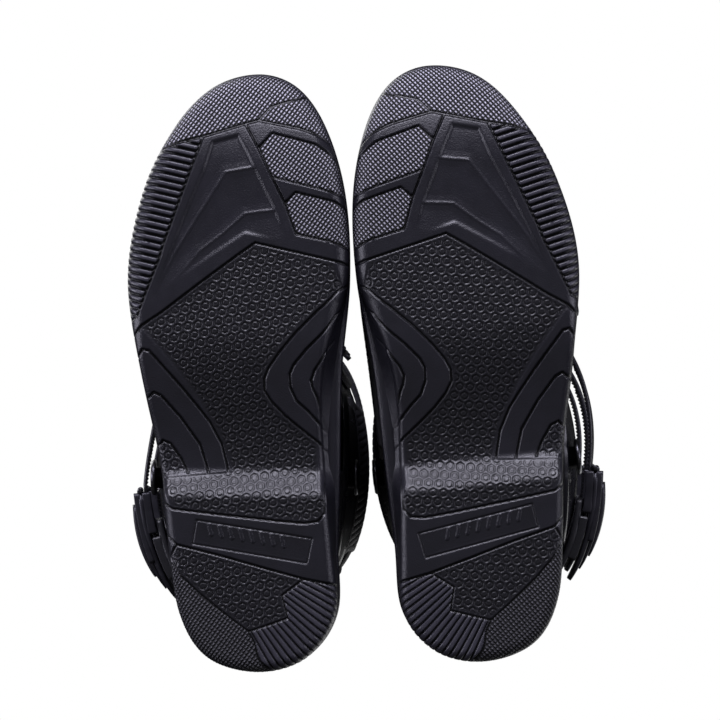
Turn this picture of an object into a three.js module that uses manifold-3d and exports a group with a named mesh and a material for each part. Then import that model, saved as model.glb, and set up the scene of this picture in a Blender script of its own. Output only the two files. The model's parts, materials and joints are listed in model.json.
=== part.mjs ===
// A pair of motocross riding boots, as an assembly of separate pieces.
// Units are millimetres. +Z is up, +Y points to the toes, +X to the wearer's right.
// The origin is midway between the two boots, on the ground under the pair's middle.
//
// One boot is drawn in its own frame: x to the outer (lateral) side, y to the toe, z up.
// Every upper piece lies on one surface, the last. The last is a stack of closed rings:
// each ring runs from the front profile of the boot to its back profile, so the rings lie
// flat round the foot, tip forward over the instep and lie flat again round the shaft.
// A place on the last is a level (0 at the sole, 12 at the top of the shaft), an angle round
// the ring (0 at the front, 90 lateral, 180 at the back, 270 medial) and a height off it.

import * as THREE from 'three';
import Module from 'manifold-3d';
import { LoftGeometry } from 'three/addons/geometries/LoftGeometry.js';
import { mergeVertices } from 'three/addons/utils/BufferGeometryUtils.js';

const wasm = await Module();
wasm.setup();

// ---- sizes ----------------------------------------------------------------------------

const SOLE_LENGTH = 313; // toe to heel along the ground
const SOLE_REAR = -158; // the heel's end, from the boot's own origin
const TOE_IN = 2.8; // degrees that each boot turns its toe inward
const SOLE_GAP = 2; // between the two soles where they come nearest
const FORWARD = 1.6; // from the pair's origin forward to each boot's own origin
const CUFF_HEIGHT = 232; // from the ankle ring to the top ring at the front

const TOE_SPRING = 14; // the toe's tip off the ground
const TOE_SPRING_LENGTH = 55;
const WAIST_RISE = 9; // the sole's waist off the ground, ahead of the heel
const WAIST_FRONT = 20; // where the sole begins to rise behind the forefoot
const BREAST_FRONT = -50; // top of the slope down to the heel
const BREAST_REAR = -67; // foot of that slope
const SOLE_SAG = 9; // how far the sole's top dips under the ball of the foot
const WELT_SHARE = 0.965; // width of the upper at the sole, as a share of the sole's
const RIM_CUT = 7; // bevel from the tread up to the side wall

const SHELL = 3.2; // wall of the foot shell and of the cuff
const SHELL_OUT = -3.9; // outer face of both shells, below the outer panels
const PANEL_IN = -2.5; // inner face of every outer panel
const PANEL_OUT = 0.8; // outer face of every outer panel
const LINER = 7; // padding inside the cuff
const LINER_GAP = 0.9; // between the cuff and its padding
const CLEAR = 0.4; // between two pieces that touch
const BOARD = 2.6; // lasting board
const FOOTBED = 5;
const BOARD_EDGE = 6; // how far the board's edge keeps in from the shell's foot
const FOOTBED_EDGE = 2.5; // and the footbed's edge from the board's
const SHANK_WIDTH = 18;
const SHANK_LENGTH = 120;
const SHANK_THICK = 2;

const WELT_LEVEL = 0.06; // foot of the foot shell, just clear of the sole
const ANKLE_LEVEL = 5; // top of the foot shell
const CUFF_LEVEL = 6; // foot of the cuff
const TOP_LEVEL = 12;
const COLLAR_LEVEL = 11.35; // foot of the collar
const YOKE_LOW = 6.15; // the band behind the ankle, between its two arms
const YOKE_HIGH = 7.25;
const PLATE_GAP = 0.05; // between two outer panels, in levels

const TOE_CAP_REACH = 60; // degrees to each side of the front
const TOE_CAP_TOP = 3.1;
const TOE_CAP_DROP = 1.2;
const HEEL_REACH = 72; // degrees to each side of the back
const HEEL_TOP = 2.6;
const HEEL_RISE = 1.2;
const SHIFT_PAD = { middle: -84, reach: 20, bottom: 1.4, top: 3.1, taper: 1 / 60 };
const SHIN_REACH = 48;
const SHIN_SIDE_RISE = 0.7;
const CALF_FROM = 132; // the calf plate and the burn guard, by their angles round the ring
const CALF_TO = 216;
const GUARD_FROM = 228;
const GUARD_TO = 300;

const PIVOT_Y = -60; // ankle hinge, in the boot's own frame
const PIVOT_Z = 97;
const ARM_SPAN = 32; // half the width of each ankle arm, in degrees round the ring
const ARM_DROP = 1.75; // how far each arm reaches down, in levels
const BOLT_RADIUS = 6;
const HEAD_LIFT = 2.8; // bolt head's underside off the arm, which slopes outward above it

const STRAP_HALF = 11; // half the width of a buckle strap
const STRAP_THICK = 3;
const STRAP_LIFT = 6.5; // strap's inner face off the last
const BASE_IN = 1.4; // receiver plate's inner face off the last
const BASE_THICK = 4.4;
const LEVER_THICK = 8;
const LEVER_HALF = 13; // half the width of a lever
const LEVER_SPAN = 42; // degrees of the ring that a lever covers ahead of its strap's end
const LEVER_TAIL = 3; // and past it

const HINGE_LIFT = 1.2; // lever's hinge line off the lever's inner face

const RING_STEPS = 30; // facets round one ring
const DEG = Math.PI / 180;

// ---- materials ------------------------------------------------------------------------

function paint(color, roughness, metalness) {
  return () => new THREE.MeshStandardMaterial({ color, roughness, metalness });
}

const soleRubber = paint(0x1f1f24, 0.72, 0);
const shellPlastic = paint(0x121216, 0.34, 0);
const panelPlastic = paint(0x17171c, 0.22, 0);
const grainedRubber = paint(0x26262b, 0.62, 0);
const softTextile = paint(0x1b1b1e, 0.9, 0);
const footbedFoam = paint(0x3a3a3f, 0.92, 0);
const boardFibre = paint(0x6b5a45, 0.85, 0);
const springSteel = paint(0xb8bbc0, 0.35, 1);
const strapPlastic = paint(0x1a1a1f, 0.3, 0);
const buckleAlloy = paint(0x2b2c31, 0.32, 0.6);

// ---- the last -------------------------------------------------------------------------

const CUFF_SCALE = CUFF_HEIGHT / 232;

// A cuff ring's height, measured from the ankle ring upward.
function cuffZ(z) {
  return 122 + (z - 122) * CUFF_SCALE;
}

const SOLE_FRONT = SOLE_REAR + SOLE_LENGTH;

// y of a front profile point: its distance behind the toe's tip, or its distance ahead of
// the boot's own origin, or a mix of the two over the instep.
function frontY(behindToe, aheadOfOrigin, toeShare) {
  return (SOLE_FRONT - behindToe) * toeShare + aheadOfOrigin * (1 - toeShare);
}

// Front and back profiles of the boot, one point for each level: y, then z.
const FRONT = [
  [frontY(3, 152, 1), 27], [frontY(5, 150, 1), 42], [frontY(16, 139, 1), 56],
  [frontY(40, 115, 0.9), 67], [frontY(69, 86, 0.7), 80], [frontY(95, 60, 0.4), 99],
  [frontY(117, 38, 0.15), 122],
  [27, cuffZ(150)], [20, cuffZ(187)], [15, cuffZ(230)], [13, cuffZ(275)],
  [14, cuffZ(324)], [18, cuffZ(371)],
];
const REAR = [
  [-155, 25], [-157, 35], [-157, 47], [-155, 60], [-151, 76], [-146, 94], [-140, 114],
  [-135, cuffZ(138)], [-133, cuffZ(172)], [-134, cuffZ(214)], [-138, cuffZ(262)],
  [-140, cuffZ(308)], [-138, cuffZ(350)],
];
// Half widths of each ring, lateral and medial.
const LATERAL = [66, 60, 56, 54.5, 55.5, 58, 61, 64, 64.5, 64.5, 64, 63.5, 62];
const MEDIAL = [50, 49.5, 48, 46, 45, 45, 46, 48.5, 50.5, 52, 52.5, 52, 50.5];

// The sole's half widths at even steps of angle, from the toe's tip to the heel.
const TREAD_LATERAL = [0, 25.5, 45, 61, 68.2, 61, 51, 46.4, 40.8, 26.5, 0];
const TREAD_MEDIAL = [0, 20.5, 35.3, 44.9, 47.2, 34, 34.5, 39, 40.5, 25.5, 0];
const WELT_MEDIAL = [0, 20.5, 35.3, 44.9, 47.2, 43, 42, 41, 40.5, 25.5, 0];

function profileCurve(points) {
  return new THREE.CatmullRomCurve3(points.map(([y, z]) => new THREE.Vector3(0, y, z)));
}

function widthCurve(widths) {
  return new THREE.SplineCurve(widths.map((w, i) => new THREE.Vector2(i, w)));
}

const frontCurve = profileCurve(FRONT);
const rearCurve = profileCurve(REAR);
const lateralCurve = widthCurve(LATERAL);
const medialCurve = widthCurve(MEDIAL);
const treadLateral = widthCurve(TREAD_LATERAL);
const treadMedial = widthCurve(TREAD_MEDIAL);
const weltMedial = widthCurve(WELT_MEDIAL);

// Height that the sole's top dips below a straight line at chord place c.
function soleSag(level, c) {
  return SOLE_SAG * Math.max(0, 1 - level / 3) * Math.sin(Math.PI * c) ** 2;
}

// The point of the last at a level and an angle in degrees, lateral side 0 to 180.
function lastPoint(level, angle) {
  const turn = (((angle % 360) + 360) % 360) * DEG;
  const t = level / TOP_LEVEL;
  const front = frontCurve.getPoint(t);
  const rear = rearCurve.getPoint(t);
  const c = (1 + Math.cos(turn)) / 2;
  const lateral = turn <= Math.PI;
  const half = lateral ? lateralCurve.getPoint(t).y : medialCurve.getPoint(t).y;
  const around = (lateral ? turn : 2 * Math.PI - turn) / Math.PI;
  const welt = (lateral ? treadLateral : weltMedial).getPoint(around).y;
  const oval = half * Math.abs(Math.sin(turn)) ** 0.7;
  const blend = Math.min(1, level / 4);
  const x = welt * WELT_SHARE * (1 - blend) + oval * blend;
  const place = rear.clone().lerp(front, c);
  place.x = lateral ? x : -x;
  place.z -= soleSag(level, c);
  return place;
}

// The outward direction of the last at a level and an angle.
function lastNormal(level, angle) {
  const step = 0.05;
  const low = Math.max(0, level - step);
  const high = Math.min(TOP_LEVEL, level + step);
  const up = lastPoint(high, angle).sub(lastPoint(low, angle));
  const along = lastPoint(level, angle + 1).sub(lastPoint(level, angle - 1));
  return up.cross(along).normalize();
}

// A point a given height off the last.
function offLast(level, angle, height) {
  return lastPoint(level, angle).addScaledVector(lastNormal(level, angle), height);
}

// ---- closed solids --------------------------------------------------------------------

// Volume inside a closed mesh, negative when its faces point inward.
function signedVolume(geometry) {
  const p = geometry.attributes.position;
  const index = geometry.index;
  const a = new THREE.Vector3();
  const b = new THREE.Vector3();
  const c = new THREE.Vector3();
  let volume = 0;
  for (let i = 0; i < index.count; i += 3) {
    a.fromBufferAttribute(p, index.getX(i));
    b.fromBufferAttribute(p, index.getX(i + 1));
    c.fromBufferAttribute(p, index.getX(i + 2));
    volume += a.dot(b.cross(c)) / 6;
  }
  return volume;
}

// A loft through closed sections: open ends are capped, a ring closes on itself.
function loft(sections, ring = false) {
  const list = ring ? [...sections, sections[0]] : sections;
  let geometry = new LoftGeometry(list, { capStart: !ring, capEnd: !ring });
  if (signedVolume(geometry) < 0) {
    const turned = list.map((section) => [...section].reverse());
    geometry = new LoftGeometry(turned, { capStart: !ring, capEnd: !ring });
  }
  return geometry;
}

// The closed outline of a wall's cut, at one angle: up its outer face, down its inner face.
function wallSection(levels, angle, inner, outer) {
  const outside = levels.map((level) => offLast(level, angle, outer));
  const inside = levels.map((level) => offLast(level, angle, inner));
  return [...outside, ...inside.reverse()];
}

// Even steps between two values, both ends included.
function steps(from, to, count) {
  return Array.from({ length: count + 1 }, (_, i) => from + ((to - from) * i) / count);
}

// A wall right round the last.
function ringWall(levels, inner, outer, count = RING_STEPS) {
  const angles = steps(0, 360, count).slice(0, -1);
  return loft(angles.map((angle) => wallSection(levels, angle, inner, outer)), true);
}

// A panel on the last: its lower and upper edges are levels that depend on the angle.
function panel(fromAngle, toAngle, count, low, high, rows, inner, outer) {
  const sections = steps(fromAngle, toAngle, count).map((angle) => {
    const levels = steps(low(angle), high(angle), rows);
    return wallSection(levels, angle, inner, outer);
  });
  return loft(sections);
}

function toManifold(geometry) {
  const bare = new THREE.BufferGeometry();
  bare.setAttribute('position', geometry.attributes.position);
  bare.setIndex(geometry.index);
  const merged = mergeVertices(bare, 1e-3);
  return new wasm.Manifold(new wasm.Mesh({
    numProp: 3,
    vertProperties: new Float32Array(merged.attributes.position.array),
    triVerts: new Uint32Array(merged.index.array),
  }));
}

function fromManifold(solid) {
  const mesh = solid.getMesh();
  const geometry = new THREE.BufferGeometry();
  geometry.setAttribute('position', new THREE.BufferAttribute(mesh.vertProperties, 3));
  geometry.setIndex(new THREE.BufferAttribute(mesh.triVerts, 1));
  return geometry;
}

function cut(geometry, tool) {
  return fromManifold(toManifold(geometry).subtract(toManifold(tool)));
}

// ---- the sole and what lies on it -----------------------------------------------------

// Height of the tread's underside above the ground.
function treadZ(y) {
  const springStart = SOLE_FRONT - TOE_SPRING_LENGTH;
  if (y > springStart) {
    return TOE_SPRING * ((y - springStart) / TOE_SPRING_LENGTH) ** 2;
  }
  if (y > WAIST_FRONT || y <= BREAST_REAR) {
    return 0;
  }
  if (y > BREAST_FRONT) {
    const t = (WAIST_FRONT - y) / (WAIST_FRONT - BREAST_FRONT);
    return WAIST_RISE * t * t * (3 - 2 * t);
  }
  return (WAIST_RISE * (y - BREAST_REAR)) / (BREAST_FRONT - BREAST_REAR);
}

// Height of the sole's top at y, a little under the lowest ring of the last.
function soleTopZ(y) {
  const front = FRONT[0];
  const rear = REAR[0];
  const c = THREE.MathUtils.clamp((y - rear[0]) / (front[0] - rear[0]), 0, 1);
  return rear[1] + (front[1] - rear[1]) * c - soleSag(0, c) - CLEAR;
}

// Chord place of y along the sole, as an angle fraction: 0 at the toe, 1 at the heel.
function soleAround(y) {
  const c = THREE.MathUtils.clamp((y - SOLE_FRONT + SOLE_LENGTH) / SOLE_LENGTH, 0, 1);
  return Math.acos(2 * c - 1) / Math.PI;
}

function treadHalf(y, curve) {
  return Math.max(2, curve.getPoint(soleAround(y)).y);
}

// y stations of the sole, closer together at both rounded ends and at the heel breast.
function soleStations() {
  const even = steps(8, 172, 20).map((angle) => (
    SOLE_FRONT - (SOLE_LENGTH * (1 - Math.cos(angle * DEG))) / 2
  ));
  const creases = [BREAST_FRONT, BREAST_REAR, WAIST_FRONT];
  const kept = even.filter((y) => creases.every((crease) => Math.abs(y - crease) > 6));
  const tips = [SOLE_FRONT - 0.3, SOLE_FRONT - SOLE_LENGTH + 0.3];
  return [...kept, ...tips, ...creases].sort((a, b) => b - a);
}

function outsole() {
  const sections = soleStations().map((y) => {
    const lateral = treadHalf(y, treadLateral);
    const medial = -treadHalf(y, treadMedial);
    const medialTop = -treadHalf(y, weltMedial);
    const bottom = treadZ(y);
    const top = soleTopZ(y);
    const bevel = Math.min(RIM_CUT, lateral / 2, -medial / 2);
    const wall = bottom + Math.min(bevel, (top - bottom) / 2);
    const at = (x, z) => new THREE.Vector3(x, y, z);
    return [
      at(medial + bevel, bottom), at(lateral - bevel, bottom), at(lateral - bevel / 4, bottom + bevel / 3),
      at(lateral, wall), at(lateral, top), at(medialTop, top),
      at(medial, wall), at(medial + bevel / 4, bottom + bevel / 3),
    ];
  });
  return cut(loft(sections), shankBar(CLEAR, CLEAR, FOOTBED));
}

// The steel strip under the waist. Added width at its sides, and height below and above,
// turn it into the tool that cuts its seat.
function shankBar(side, below, above) {
  const half = SHANK_WIDTH / 2 + side;
  const reach = SHANK_LENGTH / 2 + side;
  const middle = (BREAST_FRONT + WAIST_FRONT) / 2;
  const sections = steps(middle - reach, middle + reach, 6).map((y) => {
    const top = soleTopZ(y) - CLEAR;
    const low = top - SHANK_THICK - below;
    const high = top + above;
    return [
      new THREE.Vector3(-half, y, low), new THREE.Vector3(half, y, low),
      new THREE.Vector3(half, y, high), new THREE.Vector3(-half, y, high),
    ];
  });
  return loft(sections);
}

// A flat layer inside the foot shell, following the sole's top.
function innerLayer(inset, above, thick) {
  const reach = inset + 2;
  const front = SOLE_FRONT - reach;
  const rear = SOLE_FRONT - SOLE_LENGTH + reach;
  const sections = steps(12, 168, 12).map((angle) => {
    const y = (front + rear) / 2 + ((front - rear) / 2) * Math.cos(angle * DEG);
    const lateral = Math.max(3, treadHalf(y, treadLateral) - inset);
    const medial = -Math.max(3, treadHalf(y, weltMedial) - inset);
    const low = soleTopZ(y) + above;
    const at = (x, z) => new THREE.Vector3(x, y, z);
    return [at(medial, low), at(lateral, low), at(lateral, low + thick), at(medial, low + thick)];
  });
  return loft(sections);
}

// ---- the upper ------------------------------------------------------------------------

const SHELL_IN = SHELL_OUT - SHELL;
const LINER_OUT = SHELL_IN - LINER_GAP;

function footShell() {
  const levels = [WELT_LEVEL, 0.4, 0.9, 1.4, 2, 2.6, 3.3, 4.1, ANKLE_LEVEL];
  return ringWall(levels, SHELL_IN, SHELL_OUT);
}

function toeCap() {
  const low = () => 2 * WELT_LEVEL;
  const high = (angle) => TOE_CAP_TOP - TOE_CAP_DROP * (angle / TOE_CAP_REACH) ** 2;
  return panel(-TOE_CAP_REACH, TOE_CAP_REACH, 10, low, high, 6, PANEL_IN, PANEL_OUT);
}

function heelCounter() {
  const low = () => 2 * WELT_LEVEL;
  const high = (angle) => HEEL_TOP + HEEL_RISE * Math.cos((angle - 180) * DEG);
  const [from, to] = [180 - HEEL_REACH, 180 + HEEL_REACH];
  return panel(from, to, 12, low, high, 5, PANEL_IN, PANEL_OUT);
}

function shiftPad() {
  const { middle, reach, bottom, top, taper } = SHIFT_PAD;
  const low = (angle) => bottom + taper * Math.abs(angle - middle);
  const high = (angle) => top - taper * Math.abs(angle - middle);
  return panel(middle - reach, middle + reach, 4, low, high, 2, PANEL_IN, PANEL_OUT + 1);
}

// The gusset: soft folds between the foot shell and the cuff.
function ankleBellows() {
  const gap = 0.05;
  const levels = steps(ANKLE_LEVEL + gap, CUFF_LEVEL - gap, 4);
  const angles = steps(0, 360, 24).slice(0, -1);
  const sections = angles.map((angle) => {
    const fold = (i) => (i % 2 ? 2.2 : 0);
    const outside = levels.map((level, i) => offLast(level, angle, SHELL_OUT - 3 + fold(i)));
    const inside = levels.map((level, i) => offLast(level, angle, SHELL_IN - 1.5 + fold(i)));
    return [...outside, ...inside.reverse()];
  });
  return loft(sections, true);
}

function cuff() {
  const levels = [CUFF_LEVEL, 7, 8.2, 9.5, 10.7, TOP_LEVEL];
  return ringWall(levels, SHELL_IN, SHELL_OUT);
}

function cuffLiner() {
  const levels = [CUFF_LEVEL + 0.15, 7, 8.2, 9.5, 10.7, TOP_LEVEL - 0.1];
  return ringWall(levels, LINER_OUT - LINER, LINER_OUT, 24);
}

function collar() {
  return ringWall([COLLAR_LEVEL, 11.7, TOP_LEVEL], PANEL_IN, PANEL_OUT);
}

// The level where every cuff plate ends, under the collar, and where the rear ones begin.
function plateTop() {
  return COLLAR_LEVEL - PLATE_GAP;
}

function plateFoot() {
  return YOKE_HIGH + 2 * PLATE_GAP;
}

function shinPlate() {
  const low = (angle) => CUFF_LEVEL + 0.1 + SHIN_SIDE_RISE * (angle / SHIN_REACH) ** 2;
  return panel(-SHIN_REACH, SHIN_REACH, 8, low, plateTop, 5, PANEL_IN, PANEL_OUT);
}

function calfPlate() {
  return panel(CALF_FROM, CALF_TO, 7, plateFoot, plateTop, 4, PANEL_IN, PANEL_OUT);
}

function burnGuard() {
  return panel(GUARD_FROM, GUARD_TO, 6, plateFoot, plateTop, 4, PANEL_IN, PANEL_OUT);
}

// The angle round the last at which a ring passes the ankle pivot's y, on either side.
function pivotAngle(medial) {
  const level = 5;
  let best = 90;
  for (let angle = 60; angle < 150; angle += 0.25) {
    const gap = Math.abs(lastPoint(level, angle).y - PIVOT_Y);
    const bestGap = Math.abs(lastPoint(level, best).y - PIVOT_Y);
    best = gap < bestGap ? angle : best;
  }
  return medial ? 360 - best : best;
}

// A frame behind the ankle. Its round-ended arms reach down to the two pivots.
function ankleYoke() {
  const lateral = pivotAngle(false);
  const medial = pivotAngle(true);
  const low = (angle) => {
    const away = Math.min(Math.abs(angle - lateral), Math.abs(angle - medial)) / ARM_SPAN;
    return away < 1 ? YOKE_LOW - ARM_DROP * Math.sqrt(1 - away ** 2) : YOKE_LOW;
  };
  const high = () => YOKE_HIGH;
  const yoke = panel(lateral - ARM_SPAN, medial + ARM_SPAN, 32, low, high, 3, PANEL_IN, PANEL_OUT);
  const bore = pivotRod(BOLT_RADIUS + CLEAR, 90);
  return cut(yoke, bore);
}

function pivotRod(radius, reach) {
  const rod = new THREE.CylinderGeometry(radius, radius, 2 * reach, 24);
  rod.rotateZ(90 * DEG);
  rod.translate(0, PIVOT_Y, PIVOT_Z);
  return rod;
}

// x of the last's side wall at the ankle pivot.
function pivotWall(medial) {
  const angle = pivotAngle(medial);
  let best = lastPoint(5, angle);
  for (let level = 4; level < 6; level += 0.05) {
    const place = lastPoint(level, angle);
    best = Math.abs(place.z - PIVOT_Z) < Math.abs(best.z - PIVOT_Z) ? place : best;
  }
  return Math.abs(best.x);
}

// A hinge bolt: a shank through the arm, with a domed head outside it.
function pivotBolt(medial) {
  const wall = pivotWall(medial);
  const inner = wall + SHELL_OUT + 1.4;
  const head = wall + PANEL_OUT + HEAD_LIFT;
  const profile = [
    new THREE.Vector2(0, inner), new THREE.Vector2(BOLT_RADIUS, inner),
    new THREE.Vector2(BOLT_RADIUS, head), new THREE.Vector2(BOLT_RADIUS + 4, head),
    new THREE.Vector2(BOLT_RADIUS + 3, head + 2.4), new THREE.Vector2(0, head + 3),
  ];
  const bolt = new THREE.LatheGeometry(profile, 24);
  bolt.rotateZ(-90 * DEG);
  bolt.translate(0, PIVOT_Y, PIVOT_Z);
  if (medial) {
    bolt.rotateZ(180 * DEG);
    bolt.translate(0, 2 * PIVOT_Y, 0);
  }
  return bolt;
}

// ---- buckles --------------------------------------------------------------------------

// Each strap starts at a medial angle, wraps over the front and ends at the lateral back.
// slope is how many levels the strap drops for each 100 degrees away from the front.
const BUCKLES = [
  { level: 4.25, slope: 1.6, start: -44, end: 70 },
  { level: 6.8, slope: 0, start: -34, end: 142 },
  { level: 8.6, slope: 0, start: -34, end: 141 },
  { level: 10.35, slope: 0, start: -34, end: 140 },
];

function strapLevel(buckle, angle) {
  return buckle.level - (buckle.slope * Math.abs(angle)) / 100;
}

// How many levels one millimetre of height is, at a place on the last.
function levelsPerMm(level, angle) {
  const span = lastPoint(level + 0.2, angle).distanceTo(lastPoint(level - 0.2, angle));
  return 0.4 / span;
}

// A band of constant width along a buckle's line, between two angles.
function band(buckle, from, to, count, halfAt, inner, outer) {
  const sections = steps(from, to, count).map((angle) => {
    const level = strapLevel(buckle, angle);
    const half = halfAt((angle - from) / (to - from)) * levelsPerMm(level, angle);
    const low = level - half;
    const high = level + half;
    return [
      offLast(low, angle, outer), offLast(high, angle, outer),
      offLast(high, angle, inner), offLast(low, angle, inner),
    ];
  });
  return loft(sections);
}

function strap(buckle) {
  const taper = (t) => STRAP_HALF * (t > 0.94 ? 0.6 : 1);
  const count = Math.round((buckle.end - buckle.start) / 8);
  return band(buckle, buckle.start, buckle.end, count, taper, STRAP_LIFT, STRAP_LIFT + STRAP_THICK);
}

function receiver(buckle) {
  const from = buckle.end - 30;
  const shape = (t) => STRAP_HALF + 3 * Math.sin(Math.PI * t);
  return band(buckle, from, buckle.end + 6, 5, shape, BASE_IN, BASE_IN + BASE_THICK);
}

function lever(buckle) {
  const inner = STRAP_LIFT + STRAP_THICK + CLEAR;
  const shape = (t) => LEVER_HALF * Math.sqrt(1.02 - t ** 2.4) * (t < 0.1 ? 0.85 : 1);
  const from = buckle.end - LEVER_SPAN;
  return band(buckle, from, buckle.end + LEVER_TAIL, 7, shape, inner, inner + LEVER_THICK);
}

// A strap's hinge, at its anchored end and square to the strap's own bend.
function strapHinge(buckle) {
  const height = STRAP_LIFT + STRAP_THICK / 2;
  const spot = (angle) => offLast(strapLevel(buckle, angle), angle, height);
  const place = spot(buckle.start);
  const toEnd = spot(buckle.end).sub(place);
  const toFront = spot(0).sub(place);
  return { place, axis: toEnd.cross(toFront).normalize() };
}

// A lever's hinge, across its front end and just off its inner face.
function leverHinge(buckle) {
  const angle = buckle.end - LEVER_SPAN;
  const level = strapLevel(buckle, angle);
  const height = STRAP_LIFT + STRAP_THICK + CLEAR + HINGE_LIFT;
  const across = offLast(level + 0.1, angle, height).sub(offLast(level - 0.1, angle, height));
  return { place: offLast(level, angle, height), axis: across.normalize() };
}

// ---- the assembly ---------------------------------------------------------------------

function buildBoot(side) {
  const boot = new THREE.Group();
  boot.name = `${side}_boot`;
  const add = (name, geometry, material, hinge) => {
    const mesh = new THREE.Mesh(geometry, material());
    mesh.name = `${side}_${name}`;
    mesh.userData.hinge = hinge;
    boot.add(mesh);
  };
  add('outsole', outsole(), soleRubber);
  add('shank', shankBar(0, 0, 0), springSteel);
  const inset = 2 - SHELL_IN + BOARD_EDGE;
  add('insole_board', innerLayer(inset, CLEAR, BOARD), boardFibre);
  add('footbed', innerLayer(inset + FOOTBED_EDGE, 2 * CLEAR + BOARD, FOOTBED), footbedFoam);
  add('foot_shell', footShell(), shellPlastic);
  add('toe_cap', toeCap(), panelPlastic);
  add('heel_counter', heelCounter(), panelPlastic);
  add('ankle_bellows', ankleBellows(), grainedRubber);
  add('cuff', cuff(), shellPlastic);
  add('cuff_liner', cuffLiner(), softTextile);
  add('collar', collar(), grainedRubber);
  add('ankle_yoke', ankleYoke(), panelPlastic);
  add('pivot_lateral', pivotBolt(false), buckleAlloy);
  add('pivot_medial', pivotBolt(true), buckleAlloy);
  add('shin_plate', shinPlate(), panelPlastic);
  add('calf_plate', calfPlate(), panelPlastic);
  add('burn_guard', burnGuard(), grainedRubber);
  if (side === 'L') {
    add('shift_pad', shiftPad(), grainedRubber);
  }
  BUCKLES.forEach((buckle, i) => {
    const n = i + 1;
    add(`receiver_${n}`, receiver(buckle), buckleAlloy);
    add(`strap_${n}`, strap(buckle), strapPlastic, strapHinge(buckle));
    add(`lever_${n}`, lever(buckle), buckleAlloy, leverHinge(buckle));
  });
  return boot;
}

const pair = new THREE.Group();
pair.name = 'riding_boots';

// How far the turned sole reaches toward the other boot from its own origin.
function medialReach() {
  const places = steps(0, 1, 60).map((t) => {
    const y = SOLE_FRONT - (SOLE_LENGTH * (1 - Math.cos(Math.PI * t))) / 2;
    return treadMedial.getPoint(t).y * Math.cos(TOE_IN * DEG) + y * Math.sin(TOE_IN * DEG);
  });
  return Math.max(...places);
}

const HALF_SPACING = medialReach() + SOLE_GAP / 2;

const right = buildBoot('R');
right.position.set(HALF_SPACING, FORWARD, 0);
right.rotation.z = TOE_IN * DEG;
pair.add(right);

const left = buildBoot('L');
left.position.set(-HALF_SPACING, FORWARD, 0);
left.rotation.z = -TOE_IN * DEG;
left.scale.x = -1;
pair.add(left);

export default pair;
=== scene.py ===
"""A pair of motocross riding boots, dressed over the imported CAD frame.

Each boot is drawn in its own frame, in metres: x to its outer (lateral) side, y to the toe,
z up. The right boot is that drawing turned a little and set to one side, and the left boot
is its mirror image. The upper lies on one surface, the last, which has a level (0 at the
sole, 12 at the shaft's top) and an angle (0 at the front, 90 lateral, 180 at the back).
"""
import bpy
import json
import math
import numpy as np
from mathutils import Matrix, Vector


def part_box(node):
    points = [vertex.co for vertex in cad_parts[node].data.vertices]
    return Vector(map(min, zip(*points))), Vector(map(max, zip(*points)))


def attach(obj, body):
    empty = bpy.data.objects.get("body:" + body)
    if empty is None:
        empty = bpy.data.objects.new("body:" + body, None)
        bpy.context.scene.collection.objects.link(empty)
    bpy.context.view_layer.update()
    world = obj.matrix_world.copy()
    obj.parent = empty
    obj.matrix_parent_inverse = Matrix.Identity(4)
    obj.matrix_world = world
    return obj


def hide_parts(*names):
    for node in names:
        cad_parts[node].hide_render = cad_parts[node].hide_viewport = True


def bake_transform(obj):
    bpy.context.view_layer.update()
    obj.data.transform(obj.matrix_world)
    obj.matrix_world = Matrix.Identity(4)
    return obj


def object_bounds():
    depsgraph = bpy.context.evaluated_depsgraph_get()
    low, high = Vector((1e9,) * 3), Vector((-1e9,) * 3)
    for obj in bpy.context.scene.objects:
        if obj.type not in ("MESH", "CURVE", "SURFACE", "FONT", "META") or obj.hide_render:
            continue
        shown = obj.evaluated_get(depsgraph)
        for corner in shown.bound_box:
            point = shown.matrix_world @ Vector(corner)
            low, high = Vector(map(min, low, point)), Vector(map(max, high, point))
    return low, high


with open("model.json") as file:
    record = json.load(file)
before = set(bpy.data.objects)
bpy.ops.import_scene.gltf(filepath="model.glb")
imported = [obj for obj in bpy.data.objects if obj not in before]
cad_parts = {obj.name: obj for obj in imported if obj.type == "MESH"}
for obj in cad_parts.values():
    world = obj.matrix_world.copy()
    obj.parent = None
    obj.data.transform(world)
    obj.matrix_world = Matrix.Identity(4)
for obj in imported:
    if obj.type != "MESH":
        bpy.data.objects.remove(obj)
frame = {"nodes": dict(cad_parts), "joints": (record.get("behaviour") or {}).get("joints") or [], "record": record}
CAD_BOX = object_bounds()
MM = 0.001

# ---- where the boots stand ---------------------------------------------------------------

TOE_IN = math.radians(2.8)
ANKLE_Y = -60 * MM  # the ankle hinge in a boot's own frame
ANKLE_Z = 97 * MM
SIGN = {"R": 1, "L": -1}  # the left boot is mirrored across x
ANKLE = {j["child"][0]: j for j in frame["joints"] if j["name"].endswith("ankle_flex")}


def boot_origin(side):
    """Where a boot's own frame has its origin, worked back from its ankle hinge."""
    hinge = ANKLE[side]["pos_m"]
    across = -ANKLE_Y * math.sin(TOE_IN)
    return np.array([hinge[0] - SIGN[side] * across, hinge[1] - ANKLE_Y * math.cos(TOE_IN), 0.0])


def to_pair(points, side):
    """Points of a boot's own frame, in the pair's frame: turned by the toe-in, then mirrored
    for the left boot, then moved to the boot's origin."""
    p = np.asarray(points, dtype=float)
    cos, sin = math.cos(TOE_IN), math.sin(TOE_IN)
    x = p[..., 0] * cos - p[..., 1] * sin
    y = p[..., 1] * cos + p[..., 0] * sin
    return np.stack([SIGN[side] * x, y, p[..., 2]], axis=-1) + boot_origin(side)


def to_boot(vector, side):
    """A direction, or a place less the boot's origin, turned back to the boot's own frame."""
    cos, sin = math.cos(TOE_IN), math.sin(TOE_IN)
    x, y = SIGN[side] * vector[0], vector[1]
    return np.array([x * cos + y * sin, y * cos - x * sin, vector[2]])


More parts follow.
